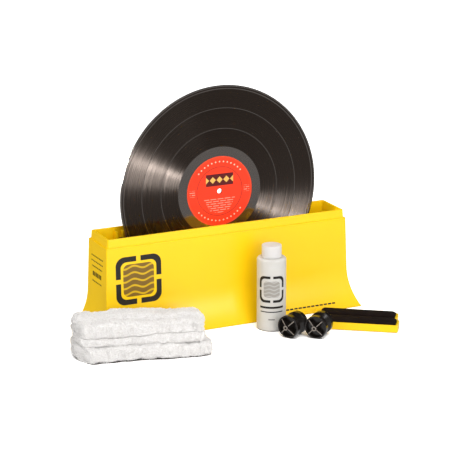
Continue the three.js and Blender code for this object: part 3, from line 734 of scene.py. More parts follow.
# The finish of each step of the profile: 0 is grooved, 1 is smooth
def recordProfile():
    s = recordSizes
    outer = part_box("record_disc")[1].x / mm
    steps = [(s["hole"], s["recess"], 1), (s["landInner"], s["recess"], 1),
             (s["landInner"], s["landHalf"], 1),
             (s["landOuter"], s["landHalf"], 1), (s["landOuter"] + s["landSlope"], s["grooveHalf"], 1)]
    steps.append((s["deadWaxOuter"], s["grooveHalf"], 1))
    for ring in s["rings"]:
        steps += [(ring - s["ringHalf"], s["grooveHalf"], 0), (ring, s["grooveHalf"] - s["ringDip"], 1),
                  (ring + s["ringHalf"], s["grooveHalf"], 1)]
    steps += [(s["grooveOuter"], s["grooveHalf"], 0), (s["bead"], s["beadHalf"], 1)]
    edge = s["edgeRound"]
    steps += [(outer - edge - 1.6, s["beadHalf"], 0)]
    steps += [(a, u, 1) for a, u in arc(outer - edge, s["beadHalf"] - edge, edge, 90, 0, 4)]
    return steps


def makeRecord(grooved, smooth):
    s = recordSizes
    steps = recordProfile()
    outline = [(r, h) for r, h, kind in steps] + [(r, -h) for r, h, kind in reversed(steps)]
    kinds = [kind for r, h, kind in steps[1:]] + [1] + [kind for r, h, kind in reversed(steps[1:])] + [1]
    points, faces = turned(outline, s["segments"])
    mesh = bpy.data.meshes.new("recordDisc")
    mesh.from_pydata([Vector(p) * mm for p in points], [], faces)
    layer = mesh.uv_layers.new(name="discWay")
    outer = outline[len(steps) - 1][0]
    for face in mesh.polygons:
        row, i = divmod(face.index, s["segments"])
        face.material_index = kinds[row]
        for loop in face.loop_indices:
            vertex = mesh.loops[loop].vertex_index
            turn = vertex % s["segments"]
            if turn == 0 and i == s["segments"] - 1:
                turn = s["segments"]
            radius = outline[vertex // s["segments"]][0]
            layer.data[loop].uv = (turn / s["segments"], radius / outer)
    mesh.transform(recordPlace)
    if sum(f.normal.dot(f.center - recordCentre) for f in mesh.polygons) < 0:
        mesh.flip_normals()
    smoothed(mesh, 25)
    return makePiece("recordDisc", mesh, [grooved, smooth], "record", "record_disc", False)


# Polar place on the disc in millimetres: radius, and the direction out from the centre
def discPlace(tree):
    place = addNode(tree, "ShaderNodeTexCoord").outputs["Object"]
    out = addNode(tree, "ShaderNodeVectorMath", {0: place, 1: tuple(recordCentre)}, operation="SUBTRACT")
    out = addNode(tree, "ShaderNodeVectorMath", {0: out, 1: (1 / mm, 0, 1 / mm)}, operation="MULTIPLY")
    radius = addNode(tree, "ShaderNodeVectorMath", {0: out}, operation="LENGTH").outputs["Value"]
    return out, radius


# Pressed vinyl, cut with fine grooves: black, with bright fans across the grooves and streaks along them
def groovedVinyl():
    material, tree = newMaterial("groovedVinyl")
    out, radius = discPlace(tree)
    fine = addNode(tree, "ShaderNodeTexNoise", {"W": radius, "Scale": 0.5, "Detail": 5.0, "Roughness": 0.8},
                   noise_dimensions="1D")
    broad = addNode(tree, "ShaderNodeTexNoise", {"W": radius, "Scale": 0.16, "Detail": 3.0, "Roughness": 0.6},
                    noise_dimensions="1D")
    tangent = addNode(tree, "ShaderNodeTangent", direction_type="UV_MAP", uv_map="discWay")
    sway = addNode(tree, "ShaderNodeMapRange",
                   {"Value": fine, "From Min": 0.3, "From Max": 0.7, "To Min": -0.045, "To Max": 0.045})
    outward = addNode(tree, "ShaderNodeVectorMath", {0: out}, operation="NORMALIZE")
    sway = addNode(tree, "ShaderNodeVectorMath", {0: outward, "Scale": sway}, operation="SCALE")
    tangent = addNode(tree, "ShaderNodeVectorMath", {0: tangent, 1: sway}, operation="ADD")
    gloss = addNode(tree, "ShaderNodeMath", {0: fine, 1: broad}, operation="ADD")
    gloss = addNode(tree, "ShaderNodeMapRange",
                    {"Value": gloss, "From Min": 0.6, "From Max": 1.4, "To Min": 0.25, "To Max": 0.29})
    colour = addNode(tree, "ShaderNodeMix", {"Factor": fine, "A": "0c0805", "B": "160e09"}, data_type="RGBA")
    skin = addNode(tree, "ShaderNodeBsdfPrincipled", {
        "Base Color": colour, "Roughness": gloss, "Tangent": tangent, "Anisotropic": 1.0,
        "Anisotropic Rotation": 0.25, "Specular IOR Level": 0.33, "Specular Tint": "ffeadd", "IOR": 1.54,
    })
    addNode(tree, "ShaderNodeOutputMaterial", {"Surface": skin})
    return material


# Pressed vinyl without grooves: near black and mirror smooth, so it shows the pale room as grey
def smoothVinyl():
    material, tree = newMaterial("smoothVinyl")
    radius = discPlace(tree)[1]
    cut = addNode(tree, "ShaderNodeTexNoise", {"W": radius, "Scale": 2.5, "Detail": 3.0, "Roughness": 0.7},
                  noise_dimensions="1D")
    gloss = addNode(tree, "ShaderNodeMapRange", {"Value": cut, "To Min": 0.1, "To Max": 0.2})
    colour = addNode(tree, "ShaderNodeMix", {"Factor": cut, "A": "15110e", "B": "211c18"}, data_type="RGBA")
    skin = addNode(tree, "ShaderNodeBsdfPrincipled", {
        "Base Color": colour, "Roughness": gloss, "Specular IOR Level": 1.0, "Specular Tint": "fff0e8",
        "IOR": 1.54,
        "Coat Weight": 1.0, "Coat Roughness": 0.06,
    })
    addNode(tree, "ShaderNodeOutputMaterial", {"Surface": skin})
    return material


# Uncoated red label paper, printed: a fine fibre grain, a thin ring, a panel of lozenges and pale rules
def labelPaper():
    material, tree = newMaterial("labelPaper")
    m = labelMarks
    out, radius = discPlace(tree)
    split = addNode(tree, "ShaderNodeSeparateXYZ", {"Vector": out})
    x, up = split.outputs["X"], split.outputs["Z"]
    fibre = addNode(tree, "ShaderNodeTexNoise",
                    {"Vector": out, "Scale": 1 / 0.9, "Detail": 4.0, "Roughness": 0.7})
    paper = addNode(tree, "ShaderNodeMix", {"Factor": fibre, "A": "f0331b", "B": "f94527"}, data_type="RGBA")
    outerRim = addNode(tree, "ShaderNodeMapRange", {"Value": radius, "From Min": 47.0, "From Max": 50.0})
    paper = addNode(tree, "ShaderNodeMix", {"Factor": outerRim, "A": paper, "B": m["rim"]}, data_type="RGBA")
    offLine = addNode(tree, "ShaderNodeMath", {0: radius, 1: m["lineRadius"]}, operation="SUBTRACT")
    offLine = addNode(tree, "ShaderNodeMath", {0: offLine}, operation="ABSOLUTE")
    line = underLimit(tree, offLine, m["lineHalf"])
    colour = addNode(tree, "ShaderNodeMix", {"Factor": line, "A": paper, "B": m["line"]}, data_type="RGBA")

    wide = addNode(tree, "ShaderNodeMath", {0: x}, operation="ABSOLUTE")
    middle = addNode(tree, "ShaderNodeMath", {0: up, 1: (m["bandLow"] + m["bandHigh"]) / 2},
                     operation="SUBTRACT")
    tall = addNode(tree, "ShaderNodeMath", {0: middle}, operation="ABSOLUTE")
    bandHalf = (m["bandHigh"] - m["bandLow"]) / 2
    panel = multiplied(tree, underLimit(tree, wide, m["bandHalf"]), underLimit(tree, tall, bandHalf))
    colour = addNode(tree, "ShaderNodeMix", {"Factor": panel, "A": colour, "B": m["plum"]}, data_type="RGBA")
    cell = addNode(tree, "ShaderNodeMath", {0: x, 1: m["lozenge"] / 2}, operation="PINGPONG")
    lozenge = addNode(tree, "ShaderNodeMath", {0: cell, 1: tall}, operation="ADD")
    lozenge = multiplied(tree, panel, underLimit(tree, lozenge, m["lozenge"] / 2.2))
    colour = addNode(tree, "ShaderNodeMix", {"Factor": lozenge, "A": colour, "B": m["cream"]},
                     data_type="RGBA")

    flat = addNode(tree, "ShaderNodeCombineXYZ", {"X": x, "Y": up})
    rows = addNode(tree, "ShaderNodeTexBrick", {
        "Vector": flat, "Color1": (1, 1, 1, 1), "Color2": (1, 1, 1, 1), "Mortar": (0, 0, 0, 1), "Scale": 1.0,
        "Mortar Size": 1.1, "Mortar Smooth": 0.1, "Brick Width": 11.0, "Row Height": 3.2,
    }, offset=0.37, squash=1.0)
    lowHalf = underLimit(tree, up, -9.0)
    rowEnd = addNode(tree, "ShaderNodeMath", {0: up, 1: 0.55}, operation="MULTIPLY")
    rowEnd = addNode(tree, "ShaderNodeMath", {0: wide, 1: rowEnd}, operation="SUBTRACT")
    reach = underLimit(tree, rowEnd, 30.0)
    rules = multiplied(tree, rows, lowHalf, reach, underLimit(tree, radius, m["lineRadius"] - 4))
    aside = addNode(tree, "ShaderNodeMath", {0: wide, 1: 42.0}, operation="SUBTRACT")
    aside = addNode(tree, "ShaderNodeMath", {0: aside}, operation="ABSOLUTE")
    level = addNode(tree, "ShaderNodeMath", {0: up}, operation="ABSOLUTE")
    sides = multiplied(tree, rows, underLimit(tree, aside, 4.2), underLimit(tree, level, 4.6))
    rules = addNode(tree, "ShaderNodeMath", {0: rules, 1: sides}, operation="MAXIMUM")
    soft = addNode(tree, "ShaderNodeMath", {0: rules, 1: 0.6}, operation="MULTIPLY")
    colour = addNode(tree, "ShaderNodeMix", {"Factor": soft, "A": colour, "B": m["rule"]}, data_type="RGBA")

    offRing = addNode(tree, "ShaderNodeMath", {0: radius, 1: 42.5}, operation="SUBTRACT")
    offRing = addNode(tree, "ShaderNodeMath", {0: offRing}, operation="ABSOLUTE")
    turn = addNode(tree, "ShaderNodeMath", {0: x, 1: up}, operation="ARCTAN2")
    beads = addNode(tree, "ShaderNodeMath", {0: turn, 1: math.pi / 44}, operation="PINGPONG")
    beads = addNode(tree, "ShaderNodeMath", {0: beads, 1: 42.5}, operation="MULTIPLY")
    bead = addNode(tree, "ShaderNodeMath", {0: beads, 1: offRing}, operation="ADD")
    leaning = addNode(tree, "ShaderNodeMath", {0: up}, operation="ABSOLUTE")
    ends = addNode(tree, "ShaderNodeMath", {0: leaning, 1: 27.0}, operation="GREATER_THAN")
    bead = multiplied(tree, underLimit(tree, bead, 1.35), ends)
    colour = addNode(tree, "ShaderNodeMix", {"Factor": bead, "A": colour, "B": "f6c9ae"}, data_type="RGBA")
    relief = addNode(tree, "ShaderNodeBump", {"Height": fibre, "Distance": 0.03 * mm, "Strength": 0.4})
    skin = addNode(tree, "ShaderNodeBsdfPrincipled",
                   {"Base Color": colour, "Roughness": 0.55, "Normal": relief, "Specular IOR Level": 0.2})
    addNode(tree, "ShaderNodeOutputMaterial", {"Surface": skin})
    return material


def makeLabel(name, node, side, paper):
    s = labelSizes
    high = recordSizes["landHalf"]
    low = high - s["thickness"]
    edge = s["edgeRound"]
    outline = [(s["hole"], low), (s["radius"], low), (s["radius"], high - edge), (s["radius"] - edge, high),
               (s["hole"], high)]
    way = Matrix.Rotation(0 if side > 0 else math.pi, 4, "X")
    mesh = meshOf(name, turned(outline, s["segments"]), recordPlace @ way)
    return makePiece(name, smoothed(mesh, 30), [paper], "record", node, False)


keepLampsTo("fannedByLeftLamps", makeRecord(groovedVinyl(), smoothVinyl()), ("leftStrip", "leftGlow"))
redPaper = labelPaper()
makeLabel("labelFront", "record_label_front", 1, redPaper)
makeLabel("labelBack", "record_label_back", -1, redPaper)
print("record made")


# Rollers: moulded spools with cupped ends, gussets and bored stubs

rollerSizes = {
    "segments": 112, "half": 14.5, "flange": 16, "grooveEdge": 6.5, "waist": 8, "waistHalf": 1.6,
    "ring": 13.8, "recess": 8.5, "stub": 3.5, "stubTip": 20.5, "bore": 1.6, "edgeRound": 0.6,
    "gusset": 1.4, "gussetIn": 2.55, "gussetOut": 14.9, "gussetTip": 13.9, "gussetRise": 17.3, "gussets": 4,
}


# Injection moulded black ABS: even, half gloss, with the faint drag lines that the mould leaves
def blackAbs():
    material, tree = newMaterial("blackAbs")
    place = addNode(tree, "ShaderNodeTexCoord").outputs["Object"]
    grain = addNode(tree, "ShaderNodeTexNoise",
                    {"Vector": place, "Scale": 1 / (0.9 * mm), "Detail": 3.0, "Roughness": 0.6})
    cloud = addNode(tree, "ShaderNodeTexNoise",
                    {"Vector": place, "Scale": 1 / (9 * mm), "Detail": 2.0, "Roughness": 0.5})
    colour = addNode(tree, "ShaderNodeMix", {"Factor": cloud, "A": "15110e", "B": "1f1a17"}, data_type="RGBA")
    gloss = addNode(tree, "ShaderNodeMapRange", {"Value": cloud, "To Min": 0.16, "To Max": 0.24})
    relief = addNode(tree, "ShaderNodeBump", {"Height": grain, "Distance": 0.02 * mm, "Strength": 0.5})
    skin = addNode(tree, "ShaderNodeBsdfPrincipled",
                   {"Base Color": colour, "Roughness": gloss, "Normal": relief, "IOR": 1.54})
    addNode(tree, "ShaderNodeOutputMaterial", {"Surface": skin})
    return material


# The same plastic painted pale on the end faces of the gusset ribs and hubs: a painted highlight standing in
# for the glints along their edges
def rubbedAbs():
    material, tree = newMaterial("rubbedAbs")
    place = addNode(tree, "ShaderNodeTexCoord").outputs["Object"]
    glintMottle = addNode(tree, "ShaderNodeTexNoise",
                    {"Vector": place, "Scale": 1 / (2.5 * mm), "Detail": 3.0, "Roughness": 0.6})
    colour = addNode(tree, "ShaderNodeMix", {"Factor": glintMottle, "A": "6b635c", "B": "8f867d"}, data_type="RGBA")
    skin = addNode(tree, "ShaderNodeBsdfPrincipled", {"Base Color": colour, "Roughness": 0.4, "IOR": 1.54})
    addNode(tree, "ShaderNodeOutputMaterial", {"Surface": skin})
    return material


def rollerUnit(material):
    s = rollerSizes
    edge = s["edgeRound"]
    tip = s["stubTip"]
    end = [(s["bore"], tip - 0.3), (s["bore"] + 0.3, tip)]
    end += [(s["stub"] - edge + a, tip - edge + u) for a, u in arc(0, 0, edge, 90, 0, 4)]
    end += [(s["stub"], s["recess"] + 0.4), (s["stub"] + 0.4, s["recess"]), (s["ring"] - 0.6, s["recess"]),
            (s["ring"], s["recess"] + 0.6), (s["ring"], s["half"] - 0.3), (s["ring"] + 0.3, s["half"])]
    end += [(s["flange"] - edge + a, s["half"] - edge + u) for a, u in arc(0, 0, edge, 90, 0, 4)]
    end += [(s["flange"], s["grooveEdge"] + 0.35), (s["flange"] - 0.3, s["grooveEdge"] - 0.1)]
    end += [(s["waist"] + 0.3, s["waistHalf"] + 0.15), (s["waist"], s["waistHalf"] - 0.3)]
    outline = end + [(r, -u) for r, u in reversed(end)]
    spool = meshOf("spool", turned(outline, s["segments"]))
    gusset = [(s["gussetIn"], s["recess"] - edge), (s["gussetOut"], s["recess"] - edge),
              (s["gussetOut"], s["gussetTip"]), (s["gussetIn"], s["gussetRise"])]
    unit = roundEdges(meshOf("gusset", plate(gusset, -s["gusset"] / 2, s["gusset"] / 2)), 0.35, 3)
    step = 360 / s["gussets"]
    places = [((0, 0, 0), (flip, 0, (i + 0.5) * step)) for i in range(s["gussets"]) for flip in (0, 180)]
    mesh = joined("rollerUnit", [spool, copiesOf("gussets", unit, places, material)])
    # Faces on the gusset ribs and hub ends that look along the axis take the pale second finish, a painted
    # highlight
    for face in mesh.polygons:
        across = math.hypot(face.center.x, face.center.y) / mm
        up = abs(face.center.z) / mm
        rib = s["gussetIn"] < across < s["ring"] - 0.3 and up > s["recess"] + 0.8
        hub = across < s["stub"] and up > s["stubTip"] - 0.5
        face.material_index = 1 if abs(face.normal.z) > 0.35 and (rib or hub) else 0
    return mesh


# The middle of a roller in its own CAD box, and its axis turned from Y by some degrees
def makeRoller(name, node, body, turn, unit, materials):
    low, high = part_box(node)
    middle = (low + high) / 2
    mesh = unit.copy()
    mesh.transform(Matrix.Translation(middle) @ Matrix.Rotation(math.radians(turn), 4, "Z")
                   @ Matrix.Rotation(-math.pi / 2, 4, "X"))
    return makePiece(name, smoothed(mesh, 32), materials, body, node)


def makeRollers():
    material = blackAbs()
    unit = rollerUnit(material)
    finishes = [material, rubbedAbs()]
    makeRoller("rollerLeft", "roller_left", "roller_left", 0, unit, finishes)
    makeRoller("rollerRight", "roller_right", "roller_right", 0, unit, finishes)
    makeRoller("rollerLooseA", "roller_loose_a", "roller_loose_a", 31.5 - 90, unit, finishes)
    makeRoller("rollerLooseB", "roller_loose_b", "roller_loose_b", 42 - 90, unit, finishes)


makeRollers()
print("rollers made")


# Brushes: a yellow bar, hollow at the back, with a crowned velvet pad in its pocket

brushSizes = {
    "length": 117, "half": 13, "height": 11, "lowRound": 1.6, "topRound": 0.9, "corner": 1.8,
    "wall": 2.2, "ceiling": 7.6, "pocketFrom": 8, "pocketTo": 114, "pocketHalf": 11.6, "pocketFloor": 9.8,
    "web": 2.2,
}
padSizes = {
    "from": 8.3, "to": 113.7, "half": 11.3, "base": 10.1, "shoulder": 12.6, "top": 16, "endRound": 6,
    "stations": 60, "around": 26, "endSteps": 9,
}
standingTop = 134
standingBack = 17.3
looseTurn = -36
looseAcross = 30.5
looseShift = 4


def holderUnit():
    s = brushSizes

    def ring(offset, height):
        return roundedRing(-offset, s["length"] + offset, s["half"] + offset, s["corner"], height, 5)

    core = [roundedRing(s["wall"], s["length"] - s["wall"], s["half"] - s["wall"], 1.2, h, 5)
            for h in (s["ceiling"], s["ceiling"] - 0.6, 0.3)]
    core.append(roundedRing(s["wall"] - 0.25, s["length"] - s["wall"] + 0.25, s["half"] - s["wall"] + 0.25,
                            1.4, 0, 5))
    low = [ring(o, h) for o, h in arc(-s["lowRound"], s["lowRound"], s["lowRound"], -90, 0, 5)]
    top = [ring(o, h) for o, h in arc(-s["topRound"], s["height"] - s["topRound"], s["topRound"], 0, 90, 4)]
    pocket = [roundedRing(s["pocketFrom"] - d, s["pocketTo"] + d, s["pocketHalf"] + d, 1.2, h, 5)
              for d, h in ((0.2, s["height"]), (0, s["height"] - 0.2), (0, s["pocketFloor"]))]
    bar = meshOf("bar", loft(core + low + top + pocket))
    middle = s["length"] / 2
    half = s["half"] - s["wall"] + 0.4
    web = meshOf("web", block((middle - s["web"] / 2, -half, 0.2),
                              (middle + s["web"] / 2, half, s["ceiling"] + 0.4)))
    return joined("holderUnit", [bar, web])


def padUnit():
    s = padSizes
    rings = []
    ends = [(1 - math.cos(t * math.pi / 2 / s["endSteps"]), math.sin(t * math.pi / 2 / s["endSteps"]))
            for t in range(s["endSteps"] + 1)]
    spans = [(s["from"] + s["endRound"] * share, rise) for share, rise in ends]
    inner = s["to"] - s["from"] - 2 * s["endRound"]
    spans += [(s["from"] + s["endRound"] + inner * i / s["stations"], 1) for i in range(1, s["stations"])]
    spans += [(s["to"] - s["endRound"] * share, rise) for share, rise in reversed(ends)]
    for x, rise in spans:
        half = s["half"] - 2.2 * (1 - rise)
        ring = [(x, half, s["base"])]
        for i in range(s["around"] + 1):
            turn = math.pi * i / s["around"]
            crown = (s["top"] - s["shoulder"]) * (0.12 + 0.88 * rise) * math.sin(turn)
            up = s["shoulder"] - 0.9 * (1 - rise) + crown
            sway = 0.22 * noise.noise(Vector((x / 17, 5.0 * math.cos(turn) / 6, 3.1))) * math.sin(turn)
            ring.append((x, half * math.copysign(abs(math.cos(turn)) ** 0.9, math.cos(turn)), up + sway))
        ring.append((x, -half, s["base"]))
        rings.append(ring)
    return meshOf("padUnit", loft(rings))


# Short cut nylon velvet: deep black, with a soft pale sheen where it is seen along the pile
def blackVelvet():
    material, tree = newMaterial("blackVelvet")
    place = addNode(tree, "ShaderNodeTexCoord").outputs["Object"]
    pile = addNode(tree, "ShaderNodeTexNoise",
                   {"Vector": place, "Scale": 1 / (0.8 * mm), "Detail": 4.0, "Roughness": 0.75})
    brushed = addNode(tree, "ShaderNodeTexNoise",
                      {"Vector": place, "Scale": 1 / (14 * mm), "Detail": 3.0, "Roughness": 0.6})
    colour = addNode(tree, "ShaderNodeMix", {"Factor": brushed, "A": "120c0a", "B": "221917"},
                     data_type="RGBA")
    relief = addNode(tree, "ShaderNodeBump", {"Height": pile, "Distance": 0.5 * mm, "Strength": 0.7})
    skin = addNode(tree, "ShaderNodeBsdfPrincipled", {
        "Base Color": colour, "Roughness": 0.9, "Normal": relief, "Specular IOR Level": 0.1,
        "Sheen Weight": 0.04, "Sheen Roughness": 0.3, "Sheen Tint": "b5a79c",
    })
    addNode(tree, "ShaderNodeOutputMaterial", {"Surface": skin})
    return material


def brushPlaces():
    places = {}
    for name, side in (("front", -1), ("back", 1)):
        turn = Matrix(((0, side, 0), (0, 0, -side), (-1, 0, 0))).to_4x4()
        places[name] = Matrix.Translation(Vector((0, side * standingBack, standingTop)) * mm) @ turn
    along = Vector((math.cos(math.radians(looseTurn)), math.sin(math.radians(looseTurn)), 0))
    across = Vector((-along.y, along.x, 0))
    low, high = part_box("brush_loose_a_holder")
    half = (along * brushSizes["length"] / 2) * mm
    first = (low + high) / 2 - half
    first.z = 0
    second = first + (across * looseAcross - along * looseShift) * mm
    for name, place in (("loose_a", first), ("loose_b", second)):
        places[name] = Matrix.Translation(place) @ Matrix.Rotation(math.radians(looseTurn), 4, "Z")
    return places


def makeBrushes(plastic):
    velvet = blackVelvet()
    holder, pad = holderUnit(), padUnit()
    names = {"front": "Front", "back": "Back", "loose_a": "LooseA", "loose_b": "LooseB"}
    for name, place in brushPlaces().items():
        body = "brush_" + name
        bar = holder.copy()
        bar.transform(place)
        makePiece("brushHolder" + names[name], smoothed(bar, 32), [plastic], body,
                  body + "_holder")
        soft = pad.copy()
        soft.transform(place)
        piece = makePiece("brushPad" + names[name], smoothed(soft, 50), [velvet], body,
                          body + "_pad", False)


makeBrushes(yellowStyrene()[0])
print("brushes made")


# Bottle: a frosted blown bottle with its fluid, a screw cap and the liner inside it

bottleSizes = {
    "segments": 128, "radius": 20.4, "shoulder": 103.5, "shoulderRound": 3.4, "baseRound": 3, "dish": 1.4,
    "baseRing": 4, "wall": 1.3, "neck": 11.5, "neckTop": 117.3, "gap": 0.3,
    "threadPitch": 3, "threadTurns": 2.2, "threadRise": 0.38, "threadLow": 106.5, "threadHalf": 0.55,
}
capSizes = {
    "segments": 112, "radius": 13.8, "round": 1.2, "inside": 12, "top": 120.9, "insideTop": 119.1,
    "low": 103.8,
    "liner": 1.2, "linerLow": 117.6, "linerRadius": 11.5,
}
bottlePrint = {
    "turn": -25.85, "up": 61.4, "half": 19, "corner": 8, "stroke": 3.6, "innerHalf": 14.4, "innerCorner": 5,
    "wavePitch": 2.7, "rippleShare": 0.5, "waveBend": 1.0, "gapHalf": 1.9, "ink": "1e1a18", "panel": "9e9a94",
    "rules": ((35.2, 3.0, 18.0), (28.7, 1.5, 17.0), (17.7, 1.2, 4.5)),
}


# Blow moulded polyethylene, frosted: warm milky white that light sinks into, with a satin skin
def frostedPolyethylene(printed, middle):
    material, tree = newMaterial("frostedPolyethylene" if printed else "whitePolypropylene")
    place = addNode(tree, "ShaderNodeTexCoord").outputs["Object"]
    cloud = addNode(tree, "ShaderNodeTexNoise",
                    {"Vector": place, "Scale": 1 / (16 * mm), "Detail": 3.0, "Roughness": 0.55})
    grain = addNode(tree, "ShaderNodeTexNoise",
                    {"Vector": place, "Scale": 1 / (0.8 * mm), "Detail": 3.0, "Roughness": 0.6})
    shades = ("c6c3be", "d1cfca") if printed else ("cfccca", "d9d6d4")
    colour = addNode(tree, "ShaderNodeMix", {"Factor": cloud, "A": shades[0], "B": shades[1]},
                     data_type="RGBA")
    if printed:
        p = bottlePrint
        flat = addNode(tree, "ShaderNodeMapping",
                       {"Vector": place, "Location": tuple(-v for v in middle)})
        flat = addNode(tree, "ShaderNodeMapping", {
            "Vector": flat, "Rotation": (0, 0, math.radians(-p["turn"])), "Scale": (1 / mm, 1 / mm, 1 / mm),
        })
        split = addNode(tree, "ShaderNodeSeparateXYZ", {"Vector": flat})
        around = addNode(tree, "ShaderNodeMath", {0: split.outputs["Y"], 1: -1.0}, operation="MULTIPLY")
        around = addNode(tree, "ShaderNodeMath", {0: split.outputs["X"], 1: around}, operation="ARCTAN2")
        around = addNode(tree, "ShaderNodeMath", {0: around, 1: bottleSizes["radius"]}, operation="MULTIPLY")
        rise = addNode(tree, "ShaderNodeMath", {0: split.outputs["Z"], 1: p["up"]}, operation="SUBTRACT")
        flat = addNode(tree, "ShaderNodeCombineXYZ", {"X": around, "Y": rise})
        colour = printedMark(tree, colour, flat, p, p["ink"], p["panel"])
        wide = addNode(tree, "ShaderNodeMath", {0: around}, operation="ABSOLUTE")
        for up, thick, half in p["rules"]:
            off = addNode(tree, "ShaderNodeMath", {0: split.outputs["Z"], 1: up}, operation="SUBTRACT")
            off = addNode(tree, "ShaderNodeMath", {0: off}, operation="ABSOLUTE")
            rule = multiplied(tree, underLimit(tree, off, thick / 2), underLimit(tree, wide, half))
            colour = addNode(tree, "ShaderNodeMix", {"Factor": rule, "A": colour, "B": p["ink"]},
                             data_type="RGBA")
    relief = addNode(tree, "ShaderNodeBump", {"Height": grain, "Distance": 0.03 * mm, "Strength": 0.4})
    gloss = addNode(tree, "ShaderNodeMapRange", {"Value": cloud, "To Min": 0.38, "To Max": 0.46})
    skin = addNode(tree, "ShaderNodeBsdfPrincipled", {
        "Base Color": colour, "Roughness": gloss, "Normal": relief, "IOR": 1.5, "Specular IOR Level": 0.3,
        "Subsurface Weight": 0.25, "Subsurface Radius": (1.0, 0.9, 0.8), "Subsurface Scale": 3 * mm,
    })
    addNode(tree, "ShaderNodeOutputMaterial", {"Surface": skin})
    return material


# Washing fluid: clear, with the faintest warm tint and slow streaks where it is not quite mixed
def washingFluid():
    material, tree = newMaterial("washingFluid")
    place = addNode(tree, "ShaderNodeTexCoord").outputs["Object"]
    streak = addNode(tree, "ShaderNodeTexNoise", {"Vector": place, "Scale": 1 / (20 * mm), "Detail": 2.0})
    colour = addNode(tree, "ShaderNodeMix", {"Factor": streak, "A": "f3f0e6", "B": "faf8f2"},
                     data_type="RGBA")
    skin = addNode(tree, "ShaderNodeBsdfPrincipled",
                   {"Base Color": colour, "Roughness": 0.04, "IOR": 1.34, "Transmission Weight": 0.9})
    addNode(tree, "ShaderNodeOutputMaterial", {"Surface": skin})
    return material


# Cut polyethylene foam: matt off white with fine closed cells
def linerFoam():
    material, tree = newMaterial("linerFoam")
    place = addNode(tree, "ShaderNodeTexCoord").outputs["Object"]
    cells = addNode(tree, "ShaderNodeTexVoronoi", {"Vector": place, "Scale": 1 / (0.5 * mm)})
    colour = addNode(tree, "ShaderNodeMix", {"Factor": cells, "A": "f1ede5", "B": "dcd7cd"}, data_type="RGBA")
    relief = addNode(tree, "ShaderNodeBump", {"Height": cells, "Distance": 0.1 * mm, "Strength": 0.5})
    skin = addNode(tree, "ShaderNodeBsdfPrincipled",
                   {"Base Color": colour, "Roughness": 0.9, "Normal": relief})
    addNode(tree, "ShaderNodeOutputMaterial", {"Surface": skin})
    return material


# The thread: one ridge wound up the neck, its ends run out to nothing
def threadMesh(middle):
    s = bottleSizes
    steps = int(s["threadTurns"] * 48)
    rings = []
    for i in range(steps + 1):
        turn = 2 * math.pi * s["threadTurns"] * i / steps
        up = s["threadLow"] + s["threadPitch"] * s["threadTurns"] * i / steps
        grow = min(1, i / 9, (steps - i) / 9) * 0.95 + 0.05
        foot = s["neck"] - 0.15
        tip = s["neck"] + s["threadRise"] * grow
        half = s["threadHalf"]
        section = [(foot, up - half), (tip, up - half * 0.4), (tip, up + half * 0.4), (foot, up + half)]
        rings.append([(r * math.cos(turn), r * math.sin(turn), h) for r, h in section])
    return meshOf("thread", loft(rings), middle)


def makeBottle():
    s, c = bottleSizes, capSizes
    low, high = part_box("bottle_body")
    middle = Vector(((low.x + high.x) / 2, (low.y + high.y) / 2, 0))
    place = Matrix.Translation(middle)
    r, w, sr, br = s["radius"], s["wall"], s["shoulderRound"], s["baseRound"]
    dish = r - br - s["baseRing"]
    bore = s["neck"] - w
    outline = [(0, s["dish"]), (dish, s["dish"]), (dish + s["dish"], 0)]
    outline += arc(r - br, br, br, -90, 0, 8) + [(r, s["shoulder"] - sr - 0.1)]
    outline += arc(r - sr, s["shoulder"] - sr, sr, 0, 90, 12)
    outline += [(s["neck"] + 0.5, s["shoulder"]), (s["neck"], s["shoulder"] + 0.5)]
    outline += arc(s["neck"] - 0.4, s["neckTop"] - 0.4, 0.4, 0, 90, 3)
    outline += [(bore, s["neckTop"]), (bore, s["shoulder"] - w)]
    outline += arc(r - sr, s["shoulder"] - sr, sr - w, 90, 0, 8)
    outline += [(r - w, br), (r - br, s["dish"] + w), (0, s["dish"] + w)]
    shell = joined("bottleShell", [meshOf("shell", turned(outline, s["segments"]), place), threadMesh(place)])
    makePiece("bottleBody", smoothed(shell, 32), [frostedPolyethylene(True, middle)], "bottle",
              "bottle_body", False)
    wet, deep, high = r - w - s["gap"], s["dish"] + w + s["gap"], s["shoulder"] - w - s["gap"]
    neck = s["neck"] - w - s["gap"]
    fluid = [(0, deep), (wet - br, deep), (wet, deep + br), (wet, high - sr + w), (wet - sr + w, high),
             (neck, high), (neck, s["neckTop"] - s["gap"]), (0, s["neckTop"] - s["gap"])]
    fluidMesh = smoothed(meshOf("fluid", turned(fluid, 64), place), 32)
    makePiece("bottleFluid", fluidMesh, [washingFluid()], "bottle", "bottle_fluid", False)
    inside = [(0, c["insideTop"]), (c["inside"] - 0.4, c["insideTop"]), (c["inside"], c["insideTop"] - 0.4)]
    inside += [(c["inside"], c["low"] + 0.3), (c["inside"] + 0.3, c["low"]), (c["radius"] - 0.3, c["low"]),
               (c["radius"], c["low"] + 0.3)]
    inside += arc(c["radius"] - c["round"], c["top"] - c["round"], c["round"], 0, 90, 7) + [(0, c["top"])]
    capMesh = smoothed(meshOf("cap", turned(inside, c["segments"]), place), 32)
    makePiece("bottleCap", capMesh, [frostedPolyethylene(False, middle)], "cap", "bottle_cap",
              False)
    top = c["linerLow"] + c["liner"]
    liner = [(0, c["linerLow"]), (c["linerRadius"] - 0.1, c["linerLow"]),
             (c["linerRadius"], c["linerLow"] + 0.1),
             (c["linerRadius"], top - 0.1), (c["linerRadius"] - 0.1, top), (0, top)]
    linerMesh = smoothed(meshOf("liner", turned(liner, 64), place), 32)
    makePiece("bottleCapLiner", linerMesh, [linerFoam()], "cap_liner", "bottle_cap_liner",
              False)


makeBottle()
print("bottle made")


# Drying cloths: two terry sheets, each folded into six plies, the thicker one on top

